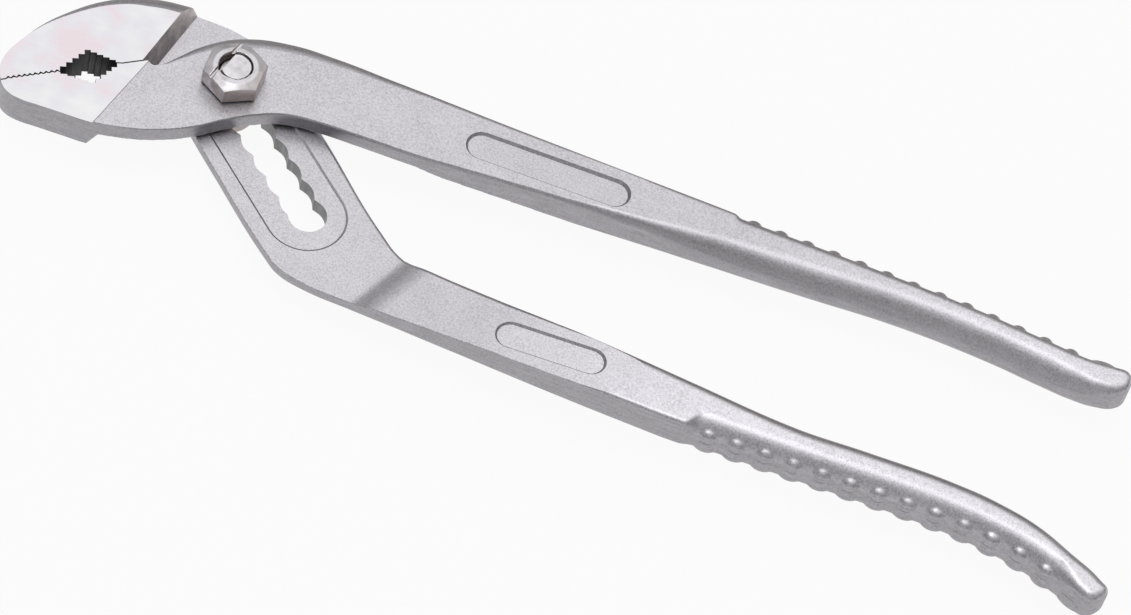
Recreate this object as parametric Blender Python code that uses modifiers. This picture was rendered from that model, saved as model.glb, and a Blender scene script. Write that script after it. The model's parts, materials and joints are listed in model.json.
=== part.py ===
"""Water pump pliers, 250 mm: two forged arms on a bolt that shifts along a scalloped slot.

The slotted arm lies at the back and carries the upper jaw and the lower handle. The bolted arm
lies in front of it and carries the lower jaw and the upper handle. The model is closed, with the
bolt in the first place of the slot, and rests on the back of the bolt's head.
"""

import math

import bmesh
import bpy
from mathutils import Matrix, Vector

# Sizes are in millimetres and degrees, in a plan whose origin is the bolt's axis: +X runs
# towards the handles, +Z towards the nut, and z = 0 is the plane where the two arms meet.
MM = 0.001

# Arms
ARM_THICKNESS = 8.4
MATING_GAP = 0.3
JAW_GRIND = 0.25
ROUND_STEPS = 3
CURVE_STEPS = 4

# Jaws, along the line where they part: fine teeth from the tips, then the pipe grip
JAW_ANGLE = 33.6
HEEL_X = -18.1
HEEL_Y = -2.5
JAW_GAP = 0.3
FINE_TEETH = 10
FINE_PITCH = 1.15
FINE_START = 0.9
UPPER_FINE_DEPTH = 0.5
LOWER_FINE_DEPTH = 0.2
PIPE_LENGTH = 13.3
UPPER_PIPE_DEPTH = 4.3
LOWER_PIPE_DEPTH = 4.0
UPPER_PIPE_APEX = 0.57
LOWER_PIPE_APEX = 0.5
PIPE_STEPS = 5
HEEL_LAND = 5.4
BROACH_TURN = -13.0

# Where the jaws' full thickness and their ground faces end, at y = 0
JAW_RAMP_RUN = 2.2
JAW_END_SKEW = 0.22
LOWER_JAW_END = -16.7
UPPER_JAW_END = -16.3
LOWER_FACE_END = -17.1
LOWER_FACE_SKEW = 0.27
UPPER_FACE_END = -14.0

# Slot in the back arm
SLOT_ANGLE = -42.6
SLOT_PITCH = 5.65
SLOT_PLACE_COUNT = 7
SLOT_CLEARANCE = 0.3
SCALLOP_DEPTH = 0.9
SCALLOP_SHIFT = 2.0
RECESS_DEPTH = 0.4
RECESS_MARGIN = 4.3
RECESS_SHIFT = -0.5
PLATE_LEFT = 12.5
PLATE_RIGHT = 12.5

# Bolt
BOLT_DIAMETER = 7.4
BOLT_FLATS = 5.8
BORE_CLEARANCE = 0.3
SEAT_GAP = 0.3
HEAD_DIAMETER = 12.0
HEAD_THICKNESS = 2.8
HEAD_EDGE = 0.6
SHOULDER_DROP = 0.2
THREAD_DIAMETER = 6.5
THREAD_BEVEL = 0.4
THREAD_FLAT = 1.9
THREAD_SINK = 0.25
ROUND_SIDES = 40

# Nut
NUT_FLATS = 12.0
NUT_HEIGHT = 4.4
NUT_TURN = -1.3
NUT_CROWN = 11.4
NUT_CHAMFER = 33.0
NUT_MOUTH = 0.3
THREAD_CLEARANCE = 0.35
GROOVE_OFFSET = 2.5
GROOVE_WIDTH = 0.7
GROOVE_DEPTH = 0.7
GROOVE_TURN = 73.6

# Handles: past the plates each one thickens up a ramp and a long taper. The front handle's
# places are measured from the bolt, the rear handle's from the last place of the slot.
FRONT_HANDLE_LENGTH = 197.2
REAR_HANDLE_LENGTH = 179.9
NECK_THICKNESS = 5.3
RAMP_LENGTH = 5.6
TAPER_LENGTH = 49.9
TAPER_BEND_AT = 0.5
TAPER_BEND_RISE = 0.62
FRONT_RAMP_START = 41.5
REAR_RAMP_START = 23.4
REAR_RAMP_SKEW = 0.47

# Grips: rows of bumps on the outer shoulders
BUMP_RADIUS = 1.75
BUMP_HEIGHT = 0.9
BUMP_TILT = 25.0
RIDGE_STRETCH = 2.2
GRIP_ROUND = 3.4
GRIP_STEP_RUN = 1.2
FRONT_GRIP_STEP = 0.3
REAR_GRIP_STEP = 0.2
FIRST_BUMP = 4.4
RIDGE_INSET = 6.6
RIDGE_GAP = 6.5
FRONT_GRIP_LENGTH = 89.2
FRONT_BUMP_PITCH = 5.93
REAR_GRIP_LENGTH = 91.9
REAR_BUMP_PITCH = 6.16

# Marking pockets, left bare: middle, length and width
POCKET_DEPTH = 0.6
FRONT_POCKET = (68.0, 5.5, 36.4, 7.3)
REAR_POCKET = (56.85, -13.25, 24.0, 6.9)

# What follows from the sizes above
HALF = ARM_THICKNESS / 2
MATE = MATING_GAP / 2
PIPE_START = FINE_START + FINE_TEETH * FINE_PITCH
PIPE_END = PIPE_START + PIPE_LENGTH
JAW_LENGTH = PIPE_END + HEEL_LAND
TRAVEL = SLOT_PITCH * (SLOT_PLACE_COUNT - 1)
SLOT_NECK = BOLT_FLATS / 2 + SLOT_CLEARANCE
SLOT_RADIUS = SLOT_NECK + SCALLOP_DEPTH
NECK = NECK_THICKNESS - HALF
HEAD_SEAT = -HALF - SEAT_GAP
HEAD_BACK = HEAD_SEAT - HEAD_THICKNESS
NUT_SEAT = HALF + SEAT_GAP
NUT_TOP = NUT_SEAT + NUT_HEIGHT

FRONT_RAMP_END = FRONT_RAMP_START + RAMP_LENGTH
REAR_RAMP_END = REAR_RAMP_START + RAMP_LENGTH
FRONT_GRIP_START = FRONT_HANDLE_LENGTH - FRONT_GRIP_LENGTH
REAR_GRIP_START = REAR_HANDLE_LENGTH - REAR_GRIP_LENGTH

# How far cutters reach across an arm, and past the face that they cut
REACH = FRONT_HANDLE_LENGTH / 2
SKIN = 2.0


def clear_scene():
    for old in list(bpy.data.objects):
        bpy.data.objects.remove(old)


def new_collection(name):
    made = bpy.data.collections.new(name)
    bpy.context.scene.collection.children.link(made)
    return made


def steel(name, colour, roughness):
    made = bpy.data.materials.new(name)
    made.use_nodes = True
    shader = made.node_tree.nodes["Principled BSDF"]
    shader.inputs["Base Color"].default_value = (*colour, 1.0)
    shader.inputs["Roughness"].default_value = roughness
    shader.inputs["Metallic"].default_value = 1.0
    return made


def add_part(name, mesh, collection, material):
    """A piece of the tool: its origin is on the bolt's axis, in the plane where the arms meet."""
    part = bpy.data.objects.new(name, mesh)
    part.location.z = -HEAD_BACK * MM
    collection.objects.link(part)
    mesh.materials.clear()
    mesh.materials.append(material)
    mesh.shade_smooth()
    mesh.set_sharp_from_angle(angle=math.radians(35))
    return part


def add_cutter(name, mesh, collection, parent):
    cutter = bpy.data.objects.new(name, mesh)
    cutter.parent = parent
    cutter.hide_render = True
    cutter.display_type = "WIRE"
    collection.objects.link(cutter)
    return cutter


def combine(part, cutter, operation="DIFFERENCE"):
    step = part.modifiers.new(cutter.name, "BOOLEAN")
    step.operation = operation
    step.solver = "EXACT"
    step.object = cutter


# Places on the plan


def on_jaw(s, h):
    """A point s along the parting line from the tips and h above it."""
    angle = math.radians(JAW_ANGLE)
    ahead = s - JAW_LENGTH
    x = HEEL_X + ahead * math.cos(angle) - h * math.sin(angle)
    y = HEEL_Y + ahead * math.sin(angle) + h * math.cos(angle)
    return x, y


def on_slot(t, n):
    """A point t along the slot from the bolt's first place and n to its right."""
    angle = math.radians(SLOT_ANGLE)
    x = t * math.cos(angle) - n * math.sin(angle)
    y = t * math.sin(angle) + n * math.cos(angle)
    return x, y


def corner(place, top=0.0, bottom=0.0):
    return (*place, "VECTOR", top, bottom)


def smooth(place, top=0.0, bottom=0.0):
    return (*place, "AUTO", top, bottom)


def stairs(start, end, count):
    """Square broached steps between two points of the parting line's frame."""
    turn = math.radians(BROACH_TURN)
    tread = Vector((math.cos(turn), math.sin(turn)))
    riser = Vector((-math.sin(turn), math.cos(turn)))
    way = Vector(end) - Vector(start)
    run = tread * (way.dot(tread) / count)
    rise = riser * (way.dot(riser) / count)
    points = []
    at = Vector(start)
    for _ in range(count):
        points.append(at.copy())
        points.append(at + rise)
        at = at + rise + run
    return points


def gripping_edge(side, fine_depth, pipe_depth, pipe_apex):
    """The toothed edge of a jaw from its tip to its heel; side is 1 for the upper jaw."""
    level = side * JAW_GAP / 2
    points = [(0.0, level)]
    for tooth in range(FINE_TEETH):
        start = FINE_START + tooth * FINE_PITCH
        points.append((start, level))
        points.append((start + FINE_PITCH / 2, level + side * fine_depth))
    apex = (PIPE_START + PIPE_LENGTH * pipe_apex, side * pipe_depth)
    points += stairs((PIPE_START, level), apex, PIPE_STEPS)
    points += stairs(apex, (PIPE_END, level), PIPE_STEPS)
    points.append((PIPE_END, level))
    points.append((JAW_LENGTH, level))
    return [corner(on_jaw(*point)) for point in points]


# Edges of the handles, as (x, y, round on the front edge, round on the back edge)


def handle_place(share, ramp_end, grip_start, end):
    """A place along a handle: 0 is the ramp's end, 1 the grip's start and 2 the handle's end."""
    if share < 1.0:
        return ramp_end + (grip_start - ramp_end) * share
    return grip_start + (end - grip_start) * (share - 1.0)


def front_at(share):
    return handle_place(share, FRONT_RAMP_END, FRONT_GRIP_START, FRONT_HANDLE_LENGTH)


def rear_at(share):
    return handle_place(share, REAR_RAMP_END, REAR_GRIP_START, REAR_HANDLE_LENGTH)


def front_inner_edge():
    return [
        (19.5, -3.1, 0.5, 0.5),
        (30.0, -2.8, 0.6, 0.6),
        (41.0, -2.7, 0.7, 0.5),
        (front_at(0.097), -1.9, 0.9, 0.9),
        (front_at(0.409), -0.6, 1.3, 1.3),
        (front_at(0.721), 0.2, 2.2, 2.0),
        (front_at(1.0), 0.4, 3.0, 3.0),
        (front_at(1.191), 0.8, 3.3, 3.3),
        (front_at(1.448), 1.8, 3.3, 3.3),
        (front_at(1.673), 1.0, 3.3, 3.3),
        (front_at(1.807), -0.3, 3.3, 3.3),
        (front_at(1.88), -0.7, 3.2, 3.2),
        (front_at(1.936), -0.2, 2.6, 2.6),
    ]


def front_outer_edge():
    step = FRONT_GRIP_START
    drop = FRONT_GRIP_STEP
    return [
        (front_at(1.947), 7.4, 1.8, 1.8),
        (front_at(1.891), 7.4 - drop, 2.2, 2.2),
        (front_at(1.785), 8.4 - drop, GRIP_ROUND, GRIP_ROUND),
        (front_at(1.583), 10.0 - drop, GRIP_ROUND, GRIP_ROUND),
        (front_at(1.303), 11.0 - drop, GRIP_ROUND, GRIP_ROUND),
        (step + GRIP_STEP_RUN, 11.5 - drop, GRIP_ROUND, GRIP_ROUND),
        (step, 11.5, 1.2, 1.6),
        (front_at(0.573), 12.2, 0.9, 1.2),
        (front_at(0.13), 13.0, 0.8, 1.0),
        (31.0, 14.0, 0.6, 0.5),
        (18.5, 14.6, 0.6, 0.6),
    ]


def rear_outer_edge():
    step = REAR_GRIP_START
    drop = REAR_GRIP_STEP
    return [
        (16.0, -17.3, 0.5, 2.4),
        (26.0, -17.9, 0.5, 2.6),
        (rear_at(0.203), -18.7, 0.6, 2.4),
        (rear_at(0.475), -19.5, 0.7, 2.0),
        (rear_at(0.746), -20.1, 0.9, 1.6),
        (step, -20.5, 1.2, 1.6),
        (step + GRIP_STEP_RUN, -20.5 + drop, GRIP_ROUND, GRIP_ROUND),
        (rear_at(1.294), -20.0 + drop, GRIP_ROUND, GRIP_ROUND),
        (rear_at(1.511), -19.6 + drop, GRIP_ROUND, GRIP_ROUND),
        (rear_at(1.642), -19.9 + drop, GRIP_ROUND, GRIP_ROUND),
        (rear_at(1.773), -21.5 + drop, GRIP_ROUND, GRIP_ROUND),
        (rear_at(1.871), -24.1 + drop, GRIP_ROUND, GRIP_ROUND),
        (rear_at(1.93), -26.0, 2.2, 2.2),
    ]


def rear_inner_edge():
    return [
        (rear_at(1.979), -21.1, 2.4, 2.4),
        (rear_at(1.898), -17.0, 2.8, 2.8),
        (rear_at(1.816), -13.5, 3.0, 3.0),
        (rear_at(1.729), -11.4, 3.2, 3.2),
        (rear_at(1.62), -10.2, 3.3, 3.3),
        (rear_at(1.403), -10.2, 3.3, 3.3),
        (rear_at(1.239), -10.6, 3.3, 3.3),
        (rear_at(0.949), -8.8, 2.6, 2.8),
        (rear_at(0.695), -7.7, 1.9, 2.2),
        (rear_at(0.475), -6.9, 1.3, 1.8),
        (rear_at(0.203), -5.4, 0.9, 1.6),
        (27.0, -3.6, 0.6, 1.6),
        (21.6, -2.4, 1.6, 1.6),
    ]


def from_slot_end(edge):
    """An edge of the rear handle, moved to where the slot's last place is."""
    end_x, end_y = on_slot(TRAVEL, 0.0)
    return [(end_x + x, end_y + y, *rounds) for x, y, *rounds in edge]


def smooth_edge(edge):
    return [smooth((x, y), top, bottom) for x, y, top, bottom in edge]


def front_arm_outline():
    """Lower jaw from heel to tip, belly of the eye, inner edge, handle end, outer edge, eye."""
    teeth = gripping_edge(-1, LOWER_FINE_DEPTH, LOWER_PIPE_DEPTH, LOWER_PIPE_APEX)
    knots = list(reversed(teeth))
    knots += [
        smooth(on_jaw(-0.2, -1.2), 0.3, 0.3),
        smooth(on_jaw(0.4, -3.1), 0.3, 0.3),
        smooth(on_jaw(2.4, -5.3), 0.3, 0.3),
        smooth(on_jaw(6.0, -7.6), 0.3, 0.3),
        smooth(on_jaw(JAW_LENGTH - 20.8, -10.3), 0.3, 0.3),
        smooth(on_jaw(JAW_LENGTH - 15.2, -13.7), 0.3, 0.3),
        smooth((-16.5, -21.0), 0.4, 0.4),
        smooth((-9.6, -18.4), 0.5, 0.5),
        smooth((-3.3, -14.7), 0.5, 0.5),
        smooth((1.9, -10.4), 0.5, 0.5),
        smooth((7.4, -6.6), 0.5, 0.5),
        smooth((13.1, -4.0), 0.5, 0.5),
    ]
    knots += smooth_edge(front_inner_edge())
    knots += [
        smooth((front_at(1.983), 1.4), 2.2, 2.2),
        smooth((front_at(2.0), 3.9), 1.8, 1.8),
        smooth((front_at(1.991), 7.0), 1.8, 1.8),
    ]
    knots += smooth_edge(front_outer_edge())
    knots += [
        smooth((8.0, 14.2), 0.5, 0.5),
        smooth((-1.5, 11.5), 0.5, 0.5),
        smooth((-8.3, 6.3), 0.5, 0.5),
        smooth((-12.6, 0.7), 0.5, 0.5),
        smooth((-14.8, -2.2), 0.4, 0.4),
        corner((-16.6, -3.3), 0.3, 0.3),
    ]
    return knots


def rear_arm_outline():
    """Upper jaw from tip to heel, left edge of the plate, outer edge, handle end, inner edge,
    right edge of the plate, back of the jaw."""
    knots = gripping_edge(1, UPPER_FINE_DEPTH, UPPER_PIPE_DEPTH, UPPER_PIPE_APEX)
    knots += [
        smooth((-12.6, -3.6), 0.3, 0.3),
        smooth(on_slot(-4.5, -PLATE_LEFT + 0.9), 1.0, 1.0),
        smooth(on_slot(2.0, -PLATE_LEFT + 0.4), 2.0, 2.0),
        smooth(on_slot(TRAVEL / 2, -PLATE_LEFT), 2.2, 2.2),
        smooth(on_slot(TRAVEL + 4.5, -PLATE_LEFT), 2.2, 2.2),
    ]
    handle = [(-1.4, -15.0, 2.3, 2.3), (4.6, -16.5, 2.3, 2.3)]
    handle += rear_outer_edge()
    handle += [
        (rear_at(1.963), -27.2, 2.2, 2.2),
        (rear_at(1.992), -25.4, 2.0, 2.0),
        (rear_at(2.0), -23.0, 2.0, 2.0),
    ]
    handle += rear_inner_edge()
    knots += smooth_edge(from_slot_end(handle))
    knots += [
        smooth(on_slot(TRAVEL + 10.2, PLATE_RIGHT - 0.5), 1.6, 1.6),
        smooth(on_slot(TRAVEL / 2, PLATE_RIGHT), 1.6, 1.6),
        smooth(on_slot(3.0, PLATE_RIGHT - 0.5), 1.6, 1.6),
        smooth((4.0, 12.4), 1.6, 1.6),
        smooth((-3.5, 14.9), 1.8, 1.8),
        smooth((-11.0, 15.4), 2.6, 2.4),
        smooth((-16.0, 15.2), 3.5, 3.2),
        smooth((-23.7, 13.4), 2.6, 2.6),
        smooth((-30.2, 9.7), 1.8, 1.8),
        smooth((-37.0, 3.0), 0.8, 0.8),
        smooth(on_jaw(7.6, 10.1), 0.3, 0.3),
        smooth(on_jaw(1.0, 4.6), 0.3, 0.3),
        smooth(on_jaw(-0.1, 1.6), 0.3, 0.3),
    ]
    return knots


# Shapes


def outline_points(knots):
    """A closed smooth outline through its knots, as points on the plan, anticlockwise."""
    curve = bpy.data.curves.new("outline", "CURVE")
    curve.dimensions = "2D"
    curve.fill_mode = "NONE"
    curve.resolution_u = CURVE_STEPS
    spline = curve.splines.new("BEZIER")
    spline.bezier_points.add(len(knots) - 1)
    for point, knot in zip(spline.bezier_points, knots):
        point.co = (knot[0], knot[1], 0.0)
        point.handle_left_type = knot[2]
        point.handle_right_type = knot[2]
    spline.use_cyclic_u = True
    holder = bpy.data.objects.new("outline", curve)
    bpy.context.scene.collection.objects.link(holder)
    graph = bpy.context.evaluated_depsgraph_get()
    line = bpy.data.meshes.new_from_object(holder.evaluated_get(graph))
    points = [vertex.co.xy for vertex in line.vertices]
    bpy.data.objects.remove(holder)
    turning = sum(p.cross(q) for p, q in zip(points, points[1:] + points[:1]))
    if turning < 0:
        points.reverse()
    return points


def round_at(knots, place, column):
    """The rounding asked for at a point, blended between the two knots that it lies between."""
    best = None
    for here, there in zip(knots, knots[1:] + knots[:1]):
        start = Vector(here[:2])
        way = Vector(there[:2]) - start
        share = min(max((place - start).dot(way) / way.length_squared, 0.0), 1.0)
        off = (start + way * share - place).length
        if best is None or off < best[0]:
            best = (off, here[column] * (1 - share) + there[column] * share)
    return best[1]


def forging_mesh(name, knots):
    """An arm at its full thickness: the outline's wall, rounded over to the two flats by what
    each knot asks, so that the rounding grows and fades along the arm."""
    points = outline_points(knots)
    count = len(points)
    insides = []
    for i in range(count):
        along = (points[(i + 1) % count] - points[i - 1]).normalized()
        insides.append(Vector((-along.y, along.x)))
    turns = [math.radians(90.0 * k / ROUND_STEPS) for k in range(ROUND_STEPS + 1)]
    levels = [(1, 3, turn) for turn in turns] + [(-1, 4, turn) for turn in reversed(turns)]
    bm = bmesh.new()
    rings = []
    for side, column, turn in levels:
        ring = []
        for point, inside in zip(points, insides):
            radius = round_at(knots, point, column)
            place = point + inside * radius * (1.0 - math.sin(turn))
            z = side * (HALF - radius * (1.0 - math.cos(turn)))
            ring.append(bm.verts.new(Vector((place.x, place.y, z)) * MM))
        rings.append(ring)
    bm.faces.new(rings[0])
    bm.faces.new(rings[-1])
    for upper, lower in zip(rings, rings[1:]):
        for i in range(count):
            j = (i + 1) % count
            bm.faces.new((upper[i], lower[i], lower[j], upper[j]))
    bmesh.ops.remove_doubles(bm, verts=bm.verts, dist=1e-6)
    bmesh.ops.recalc_face_normals(bm, faces=bm.faces)
    mesh = bpy.data.meshes.new(name)
    bm.to_mesh(mesh)
    bm.free()
    return mesh


def loft_mesh(name, first, second):
    """A closed solid between two rings with the same number of points."""
    bm = bmesh.new()
    low = [bm.verts.new(Vector(point) * MM) for point in first]
    high = [bm.verts.new(Vector(point) * MM) for point in second]
    bm.faces.new(low)
    bm.faces.new(high)
    for i in range(len(low)):
        j = (i + 1) % len(low)
        bm.faces.new((low[i], low[j], high[j], high[i]))
    bmesh.ops.recalc_face_normals(bm, faces=bm.faces)
    mesh = bpy.data.meshes.new(name)
    bm.to_mesh(mesh)
    bm.free()
    return mesh


def turned_mesh(name, profile):
    """A solid of revolution about the bolt's axis; the profile runs from the top to the bottom."""
    mesh = bpy.data.meshes.new(name)
    points = [(r * MM, 0.0, z * MM) for r, z in profile]
    mesh.from_pydata(points, [(i, i + 1) for i in range(len(points) - 1)], [])
    holder = bpy.data.objects.new(name, mesh)
    bpy.context.scene.collection.objects.link(holder)
    screw = holder.modifiers.new("turn", "SCREW")
    screw.steps = ROUND_SIDES
    screw.render_steps = ROUND_SIDES
    screw.use_merge_vertices = True
    screw.merge_threshold = 1e-6
    graph = bpy.context.evaluated_depsgraph_get()
    made = bpy.data.meshes.new_from_object(holder.evaluated_get(graph))
    bpy.data.objects.remove(holder)
    bpy.data.meshes.remove(mesh)
    made.name = name
    return made


def hexagon_mesh(name, radius):
    """The nut's blank, turned to where its corners are."""
    bm = bmesh.new()
    turn = Matrix.Rotation(math.radians(NUT_TURN), 4, "Z")
    place = Matrix.Translation((0, 0, (NUT_SEAT + NUT_TOP) / 2 * MM)) @ turn
    bmesh.ops.create_cone(
        bm,
        cap_ends=True,
        segments=6,
        radius1=radius * MM,
        radius2=radius * MM,
        depth=NUT_HEIGHT * MM,
        matrix=place,
    )
    mesh = bpy.data.meshes.new(name)
    bm.to_mesh(mesh)
    bm.free()
    return mesh


def box_mesh(name, low, high, turn=0.0):
    """A box between two corners, then turned about the bolt's axis."""
    bm = bmesh.new()
    bmesh.ops.create_cube(bm, size=1.0)
    size = Vector(high) - Vector(low)
    middle = (Vector(high) + Vector(low)) / 2
    scale = Matrix.Diagonal((*(size * MM), 1.0))
    place = Matrix.Rotation(math.radians(turn), 4, "Z") @ Matrix.Translation(middle * MM)
    bmesh.ops.transform(bm, matrix=place @ scale, verts=bm.verts)
    mesh = bpy.data.meshes.new(name)
    bm.to_mesh(mesh)
    bm.free()
    return mesh


def plan_ring(points, z):
    return [(x, y, z) for x, y in points]


def prism_mesh(name, points, low, high):
    """An outline on the plan, drawn out between two levels."""
    return loft_mesh(name, plan_ring(points, low), plan_ring(points, high))


def round_ended(length, width, sides=10):
    """The outline of a round-ended shape that lies along X about the origin."""
    radius = width / 2
    reach = length / 2 - radius
    points = []
    for end, start in ((1, -90.0), (-1, 90.0)):
        for i in range(sides + 1):
            angle = math.radians(start + 180.0 * i / sides)
            points.append((end * reach + radius * math.cos(angle), radius * math.sin(angle)))
    return points


# Cutters


def taper_profile():
    """A handle's thinned face past the plates: distance past the ramp's foot, and level."""
    bend = NECK + (HALF - NECK) * TAPER_BEND_RISE
    return [
        (0.0, -MATE),
        (RAMP_LENGTH, NECK),
        (RAMP_LENGTH + TAPER_LENGTH * TAPER_BEND_AT, bend),
        (RAMP_LENGTH + TAPER_LENGTH, HALF),
    ]


def taper_at(distance):
    """The level and slope of a handle's thinned face."""
    profile = taper_profile()
    for (d0, z0), (d1, z1) in zip(profile, profile[1:]):
        if d0 <= distance <= d1:
            slope = (z1 - z0) / (d1 - d0)
            return z0 + slope * (distance - d0), slope
    return HALF, 0.0


def relief_mesh(name, side, jaw_end, ramp_start, ramp_skew):
    """The space that the other arm's plate takes: from the jaw's end wall, past the plate, up the
    handle's ramp and along the taper to the full thickness. It lies on this side of the arm."""
    jaw_run = JAW_RAMP_RUN * (HALF + SKIN) / HALF
    last = RAMP_LENGTH + TAPER_LENGTH + SKIN
    profile = [*taper_profile(), (last, HALF + SKIN)]
    rings = []
    for y in (-REACH, REACH):
        left = jaw_end + y * JAW_END_SKEW
        right = ramp_start + y * ramp_skew
        ring = [(left, y, -side * MATE)]
        ring += [(right + distance, y, side * level) for distance, level in profile]
        ring.append((left - jaw_run, y, side * (HALF + SKIN)))
        rings.append(ring)
    return loft_mesh(name, *rings)


def rear_ramp_start():
    """Where the rear handle's slanted ramp starts, at y = 0."""
    end_x, end_y = on_slot(TRAVEL, 0.0)
    return end_x + REAR_RAMP_START - end_y * REAR_RAMP_SKEW


def grind_mesh(name, face_end, skew, side):
    """What grinding takes off a jaw's flat, up to a line across the arm."""
    plan = [(face_end + y * skew, y) for y in (-REACH, REACH)]
    plan += [(-REACH, REACH), (-REACH, -REACH)]
    return prism_mesh(name, plan, side * (HALF - JAW_GRIND), side * (HALF + SKIN))


def slot_outline():
    """Scallops at each place on the right, shifted ones on the left, and round ends."""

    def half_width(t, shift):
        past = max(-t, t - TRAVEL)
        if past > 0.0:
            return math.sqrt(max(SLOT_RADIUS**2 - past**2, 0.0))
        near = max(SLOT_RADIUS**2 - past**2, 0.0)
        wave = abs(math.cos(math.pi * (t - shift) / SLOT_PITCH))
        return max(math.sqrt(near), SLOT_NECK + SCALLOP_DEPTH * wave)

    ends = [SLOT_RADIUS * math.cos(math.radians(15.0 * i)) for i in range(7)]
    steps = 6 * (SLOT_PLACE_COUNT - 1)
    stations = [-end for end in ends]
    stations += [TRAVEL * i / steps for i in range(1, steps)]
    stations += [TRAVEL + end for end in reversed(ends)]
    right = [on_slot(t, half_width(t, 0.0)) for t in stations]
    left = [on_slot(t, -half_width(t, SCALLOP_SHIFT)) for t in stations[1:-1]]
    return right + list(reversed(left))


def recess_outline():
    """The shallow recess round the slot."""
    radius = SLOT_RADIUS + RECESS_MARGIN
    shape = round_ended(TRAVEL + 2 * radius, 2 * radius)
    return [on_slot(TRAVEL / 2 + x, RECESS_SHIFT + y) for x, y in shape]


def pocket_mesh(name, x, y, length, width, level, slope):
    """A shallow round-ended pocket with sloping walls, sunk into a face at a level and slope."""
    rings = []
    for depth in (-SKIN, POCKET_DEPTH):
        shape = round_ended(length - depth, width - depth)
        rings.append([(x + px, y + py, level - depth + slope * px) for px, py in shape])
    return loft_mesh(name, *rings)


def edge_place(edge, x):
    """The point of a handle's edge at x, and the edge's slope there."""
    ordered = sorted(edge)
    pieces = list(zip(ordered, ordered[1:]))
    piece = next((piece for piece in pieces if x <= piece[1][0]), pieces[-1])
    (x0, y0, *_), (x1, y1, *_) = piece
    slope = (y1 - y0) / (x1 - x0)
    return y0 + slope * (x - x0), slope


def bump_mesh(name, edge, out, first, pitch, ridge_at):
    """Two rows of round bumps on a handle's outer shoulders, each with a long ridge at its end."""
    bm = bmesh.new()
    count = 1 + int((ridge_at - RIDGE_GAP - first) / pitch)
    stations = [(first + i * pitch, 1.0) for i in range(count)]
    stations.append((ridge_at, RIDGE_STRETCH))
    tilt = math.radians(BUMP_TILT)
    for x, stretch in stations:
        y, slope = edge_place(edge, x)
        along = Vector((1.0, slope, 0.0)).normalized()
        away = Vector((-slope * out, out, 0.0)).normalized()
        for row in (1, -1):
            normal = away * math.cos(tilt) + Vector((0, 0, row * math.sin(tilt)))
            middle = Vector((x, y, row * (HALF - GRIP_ROUND))) - away * GRIP_ROUND
            centre = middle + normal * (GRIP_ROUND + BUMP_HEIGHT - BUMP_RADIUS)
            across = normal.cross(along)
            frame = Matrix((along * stretch, across, normal)).transposed().to_4x4()
            place = Matrix.Translation(centre * MM) @ frame
            bmesh.ops.create_uvsphere(
                bm, u_segments=8, v_segments=6, radius=BUMP_RADIUS * MM, matrix=place
            )
    bmesh.ops.recalc_face_normals(bm, faces=bm.faces)
    mesh = bpy.data.meshes.new(name)
    bm.to_mesh(mesh)
    bm.free()
    return mesh


# Pieces


def make_bolted_arm(parts, cutters):
    mesh = forging_mesh("bolted_arm", front_arm_outline())
    plating = steel("satin_plating_front", (0.66, 0.66, 0.67), 0.34)
    arm = add_part("bolted_arm", mesh, parts, plating)
    bore = BOLT_DIAMETER / 2 + BORE_CLEARANCE
    top = HALF + SKIN
    shapes = [
        relief_mesh("front_arm_relief", -1, LOWER_JAW_END, FRONT_RAMP_START, 0.0),
        grind_mesh("lower_jaw_front_grind", LOWER_FACE_END, LOWER_FACE_SKEW, 1),
        grind_mesh("lower_jaw_back_grind", LOWER_FACE_END, LOWER_FACE_SKEW, -1),
        turned_mesh("front_bore", [(0.0, top), (bore, top), (bore, -top), (0.0, -top)]),
        pocket_mesh("front_pocket", *FRONT_POCKET, HALF, 0.0),
    ]
    for shape in shapes:
        combine(arm, add_cutter(shape.name, shape, cutters, arm))
    first = FRONT_GRIP_START + FIRST_BUMP
    ridge_at = FRONT_HANDLE_LENGTH - RIDGE_INSET
    bumps = bump_mesh("front_bumps", front_outer_edge(), 1, first, FRONT_BUMP_PITCH, ridge_at)
    combine(arm, add_cutter(bumps.name, bumps, cutters, arm), "UNION")


def make_slotted_arm(parts, cutters):
    mesh = forging_mesh("slotted_arm", rear_arm_outline())
    plating = steel("satin_plating_rear", (0.64, 0.64, 0.66), 0.36)
    arm = add_part("slotted_arm", mesh, parts, plating)
    end_x, end_y = on_slot(TRAVEL, 0.0)
    x, y, length, width = REAR_POCKET
    level, slope = taper_at(x - REAR_RAMP_START - y * REAR_RAMP_SKEW)
    shapes = [
        relief_mesh("rear_arm_relief", 1, UPPER_JAW_END, rear_ramp_start(), REAR_RAMP_SKEW),
        grind_mesh("upper_jaw_front_grind", UPPER_FACE_END, 0.0, 1),
        grind_mesh("upper_jaw_back_grind", UPPER_FACE_END, 0.0, -1),
        prism_mesh("slot_recess", recess_outline(), -MATE - RECESS_DEPTH, SKIN),
        prism_mesh("slot", slot_outline(), -HALF - SKIN, SKIN),
        pocket_mesh("rear_pocket", end_x + x, end_y + y, length, width, level, slope),
    ]
    for shape in shapes:
        combine(arm, add_cutter(shape.name, shape, cutters, arm))
    edge = from_slot_end(rear_outer_edge())
    first = end_x + REAR_GRIP_START + FIRST_BUMP
    ridge_at = end_x + REAR_HANDLE_LENGTH - RIDGE_INSET
    bumps = bump_mesh("rear_bumps", edge, -1, first, REAR_BUMP_PITCH, ridge_at)
    combine(arm, add_cutter(bumps.name, bumps, cutters, arm), "UNION")


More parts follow.
